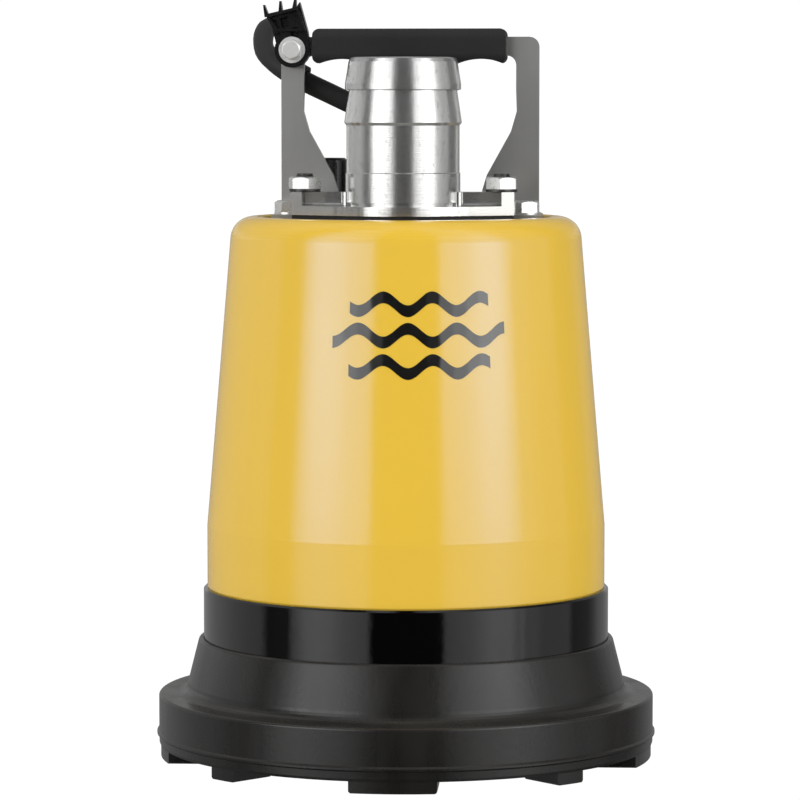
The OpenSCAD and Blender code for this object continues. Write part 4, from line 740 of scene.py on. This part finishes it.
# ---------------------------------------------------------------------------------------------
# Handle. Stainless plate 4 mm thick, laser cut, bent at the feet and brushed lengthwise, held by
# a bolt through each foot.
brushed_plate, tree, shader = new_finish("brushed_plate", (0.57, 0.57, 0.564), 0.33, 0.80)
brush = use_group(tree, mottle, Scale=1500.0, Stretch=0.02, Low=0.2, High=0.8)
rubs = use_group(tree, mottle, Scale=45.0, Low=0.4, High=0.7)
tone = blend_colour(tree, brush.outputs[0], (0.55, 0.55, 0.544), (0.60, 0.60, 0.592))
feed(tree, shader, rubs.outputs[0], (tone, (0.55, 0.546, 0.538)))
feed(tree, shader, brush.outputs[0], gloss=(0.31, 0.35))
feed_relief(tree, shader, brush.outputs[0], 0.04, 0.00004)
eased_copy("brushed_handle", "handle", 0.00035, brushed_plate)
eased_copy("cover_bolt_set", "cover_bolts", 0.00022, zinc_plate)
eased_copy("cover_washer_set", "cover_washers", 0.00015, zinc_plate)

# ---------------------------------------------------------------------------------------------
# Grip. Black rubber sleeve with four finger grooves, moulded over the handle's bar.
grip_rubber = rubber_finish("grip_rubber", (0.018, 0.018, 0.018), 0.6,
                            (0.021, 0.021, 0.021), grain_scale=1100.0, grain_strength=0.2,
                            dust_amount=0.02, specular=0.2)
eased_copy("rubber_grip", "handle_grip", 0.0006, grip_rubber, angle=40)

# ---------------------------------------------------------------------------------------------
# Cable clip. A black nylon moulding with a fan of cells, bolted through the left leg with a pale
# zinc plated flanged bolt, and a nut that also holds the cable's band.
nylon = rubber_finish("black_nylon", (0.004, 0.004, 0.004), 0.24, (0.006, 0.006, 0.006),
                      grain_scale=600.0, grain_strength=0.08, dust_amount=0.02, specular=0.6)
eased_copy("nylon_clip", "cable_clip", 0.0002, nylon)
bright_zinc, tree, shader = new_finish("bright_zinc", (0.90, 0.90, 0.89), 0.40, 0.7)
patch = use_group(tree, mottle, Scale=320.0, Low=0.3, High=0.7)
feed(tree, shader, patch.outputs[0], ((0.92, 0.92, 0.91), (0.84, 0.84, 0.83)), (0.34, 0.44))
eased_copy("flanged_bolt", "clip_bolt", 0.0002, bright_zinc)

# ---------------------------------------------------------------------------------------------
# Cable glands and plug. Black nylon bodies and cap nuts screwed into the cover; the second
# gland is closed with a ribbed plug. The mains plug is moulded rubber with nickel plated pins.
eased_copy("gland_cap_nut", "gland_nut", 0.0003, nylon)
eased_copy("ribbed_plug", "spare_plug", 0.00015, nylon)
give(nylon, "cable_gland", "spare_gland")
plug_rubber = rubber_finish("plug_rubber", (0.016, 0.016, 0.016), 0.48, (0.022, 0.022, 0.021),
                            grain_scale=800.0, grain_strength=0.3, dust_amount=0.1)
give(plug_rubber, "plug_body")
give(zinc_plate, "plug_pins")

# ---------------------------------------------------------------------------------------------
# Motor, bearings and shaft seal, all closed in. Pressed stacks of varnished laminations, copper
# end turns dipped in resin, a ground steel shaft in ball bearings with brass cages, and a seal
# with ceramic faces.
core_steel, tree, shader = new_finish("core_steel", (0.16, 0.16, 0.17), 0.45, 0.9)
sheets = add_node(tree, "TexWave", {"Vector": add_node(tree, "TexCoord").outputs["Object"],
                                    "Scale": 320.0, "Distortion": 0.3},
                  wave_type="BANDS", bands_direction="Z")
feed(tree, shader, sheets.outputs["Fac"], ((0.10, 0.10, 0.11), (0.22, 0.22, 0.23)))
feed_relief(tree, shader, sheets.outputs["Fac"], 0.4, 0.0002)
give(core_steel, "stator_core", "rotor_core")

wound_copper, tree, shader = new_finish("wound_copper", (0.45, 0.13, 0.03), 0.38, 0.8)
strands = use_group(tree, mottle, Scale=900.0, Stretch=0.2, Low=0.3, High=0.7)
feed(tree, shader, strands.outputs[0], ((0.30, 0.075, 0.018), (0.58, 0.19, 0.05)))
feed_relief(tree, shader, strands.outputs[0], 0.6, 0.0004)
give(wound_copper, "stator_windings")

ground_steel, tree, shader = new_finish("ground_steel", (0.55, 0.55, 0.55), 0.2, 1.0)
grinding = use_group(tree, turned, Scale=2200.0, Strength=0.2)
tree.links.new(grinding.outputs["Normal"], shader.inputs["Normal"])
feed(tree, shader, grinding.outputs["Lines"], gloss=(0.12, 0.3))
give(ground_steel, "shaft", "upper_outer_ring", "upper_inner_ring", "upper_balls",
     "lower_outer_ring", "lower_inner_ring", "lower_balls", "impeller_nut", "impeller_washer",
     "rotor_end_rings", "seal_bellows")

cage_brass, tree, shader = new_finish("cage_brass", (0.55, 0.33, 0.09), 0.3, 1.0)
patch = use_group(tree, mottle, Scale=300.0)
feed(tree, shader, patch.outputs[0], ((0.47, 0.27, 0.07), (0.62, 0.39, 0.12)))
give(cage_brass, "upper_cage", "lower_cage")

pale_plastic, tree, shader = new_finish("pale_plastic", (0.62, 0.58, 0.50), 0.5)
patch = use_group(tree, mottle, Scale=120.0)
feed(tree, shader, patch.outputs[0], ((0.58, 0.54, 0.46), (0.66, 0.62, 0.54)))
give(pale_plastic, "thermal_switch", "terminal_block")

seal_ceramic, tree, shader = new_finish("seal_ceramic", (0.22, 0.10, 0.05), 0.35)
patch = use_group(tree, mottle, Scale=250.0)
feed(tree, shader, patch.outputs[0], ((0.18, 0.08, 0.04), (0.27, 0.13, 0.07)))
give(seal_ceramic, "seal_seat", "seal_face")
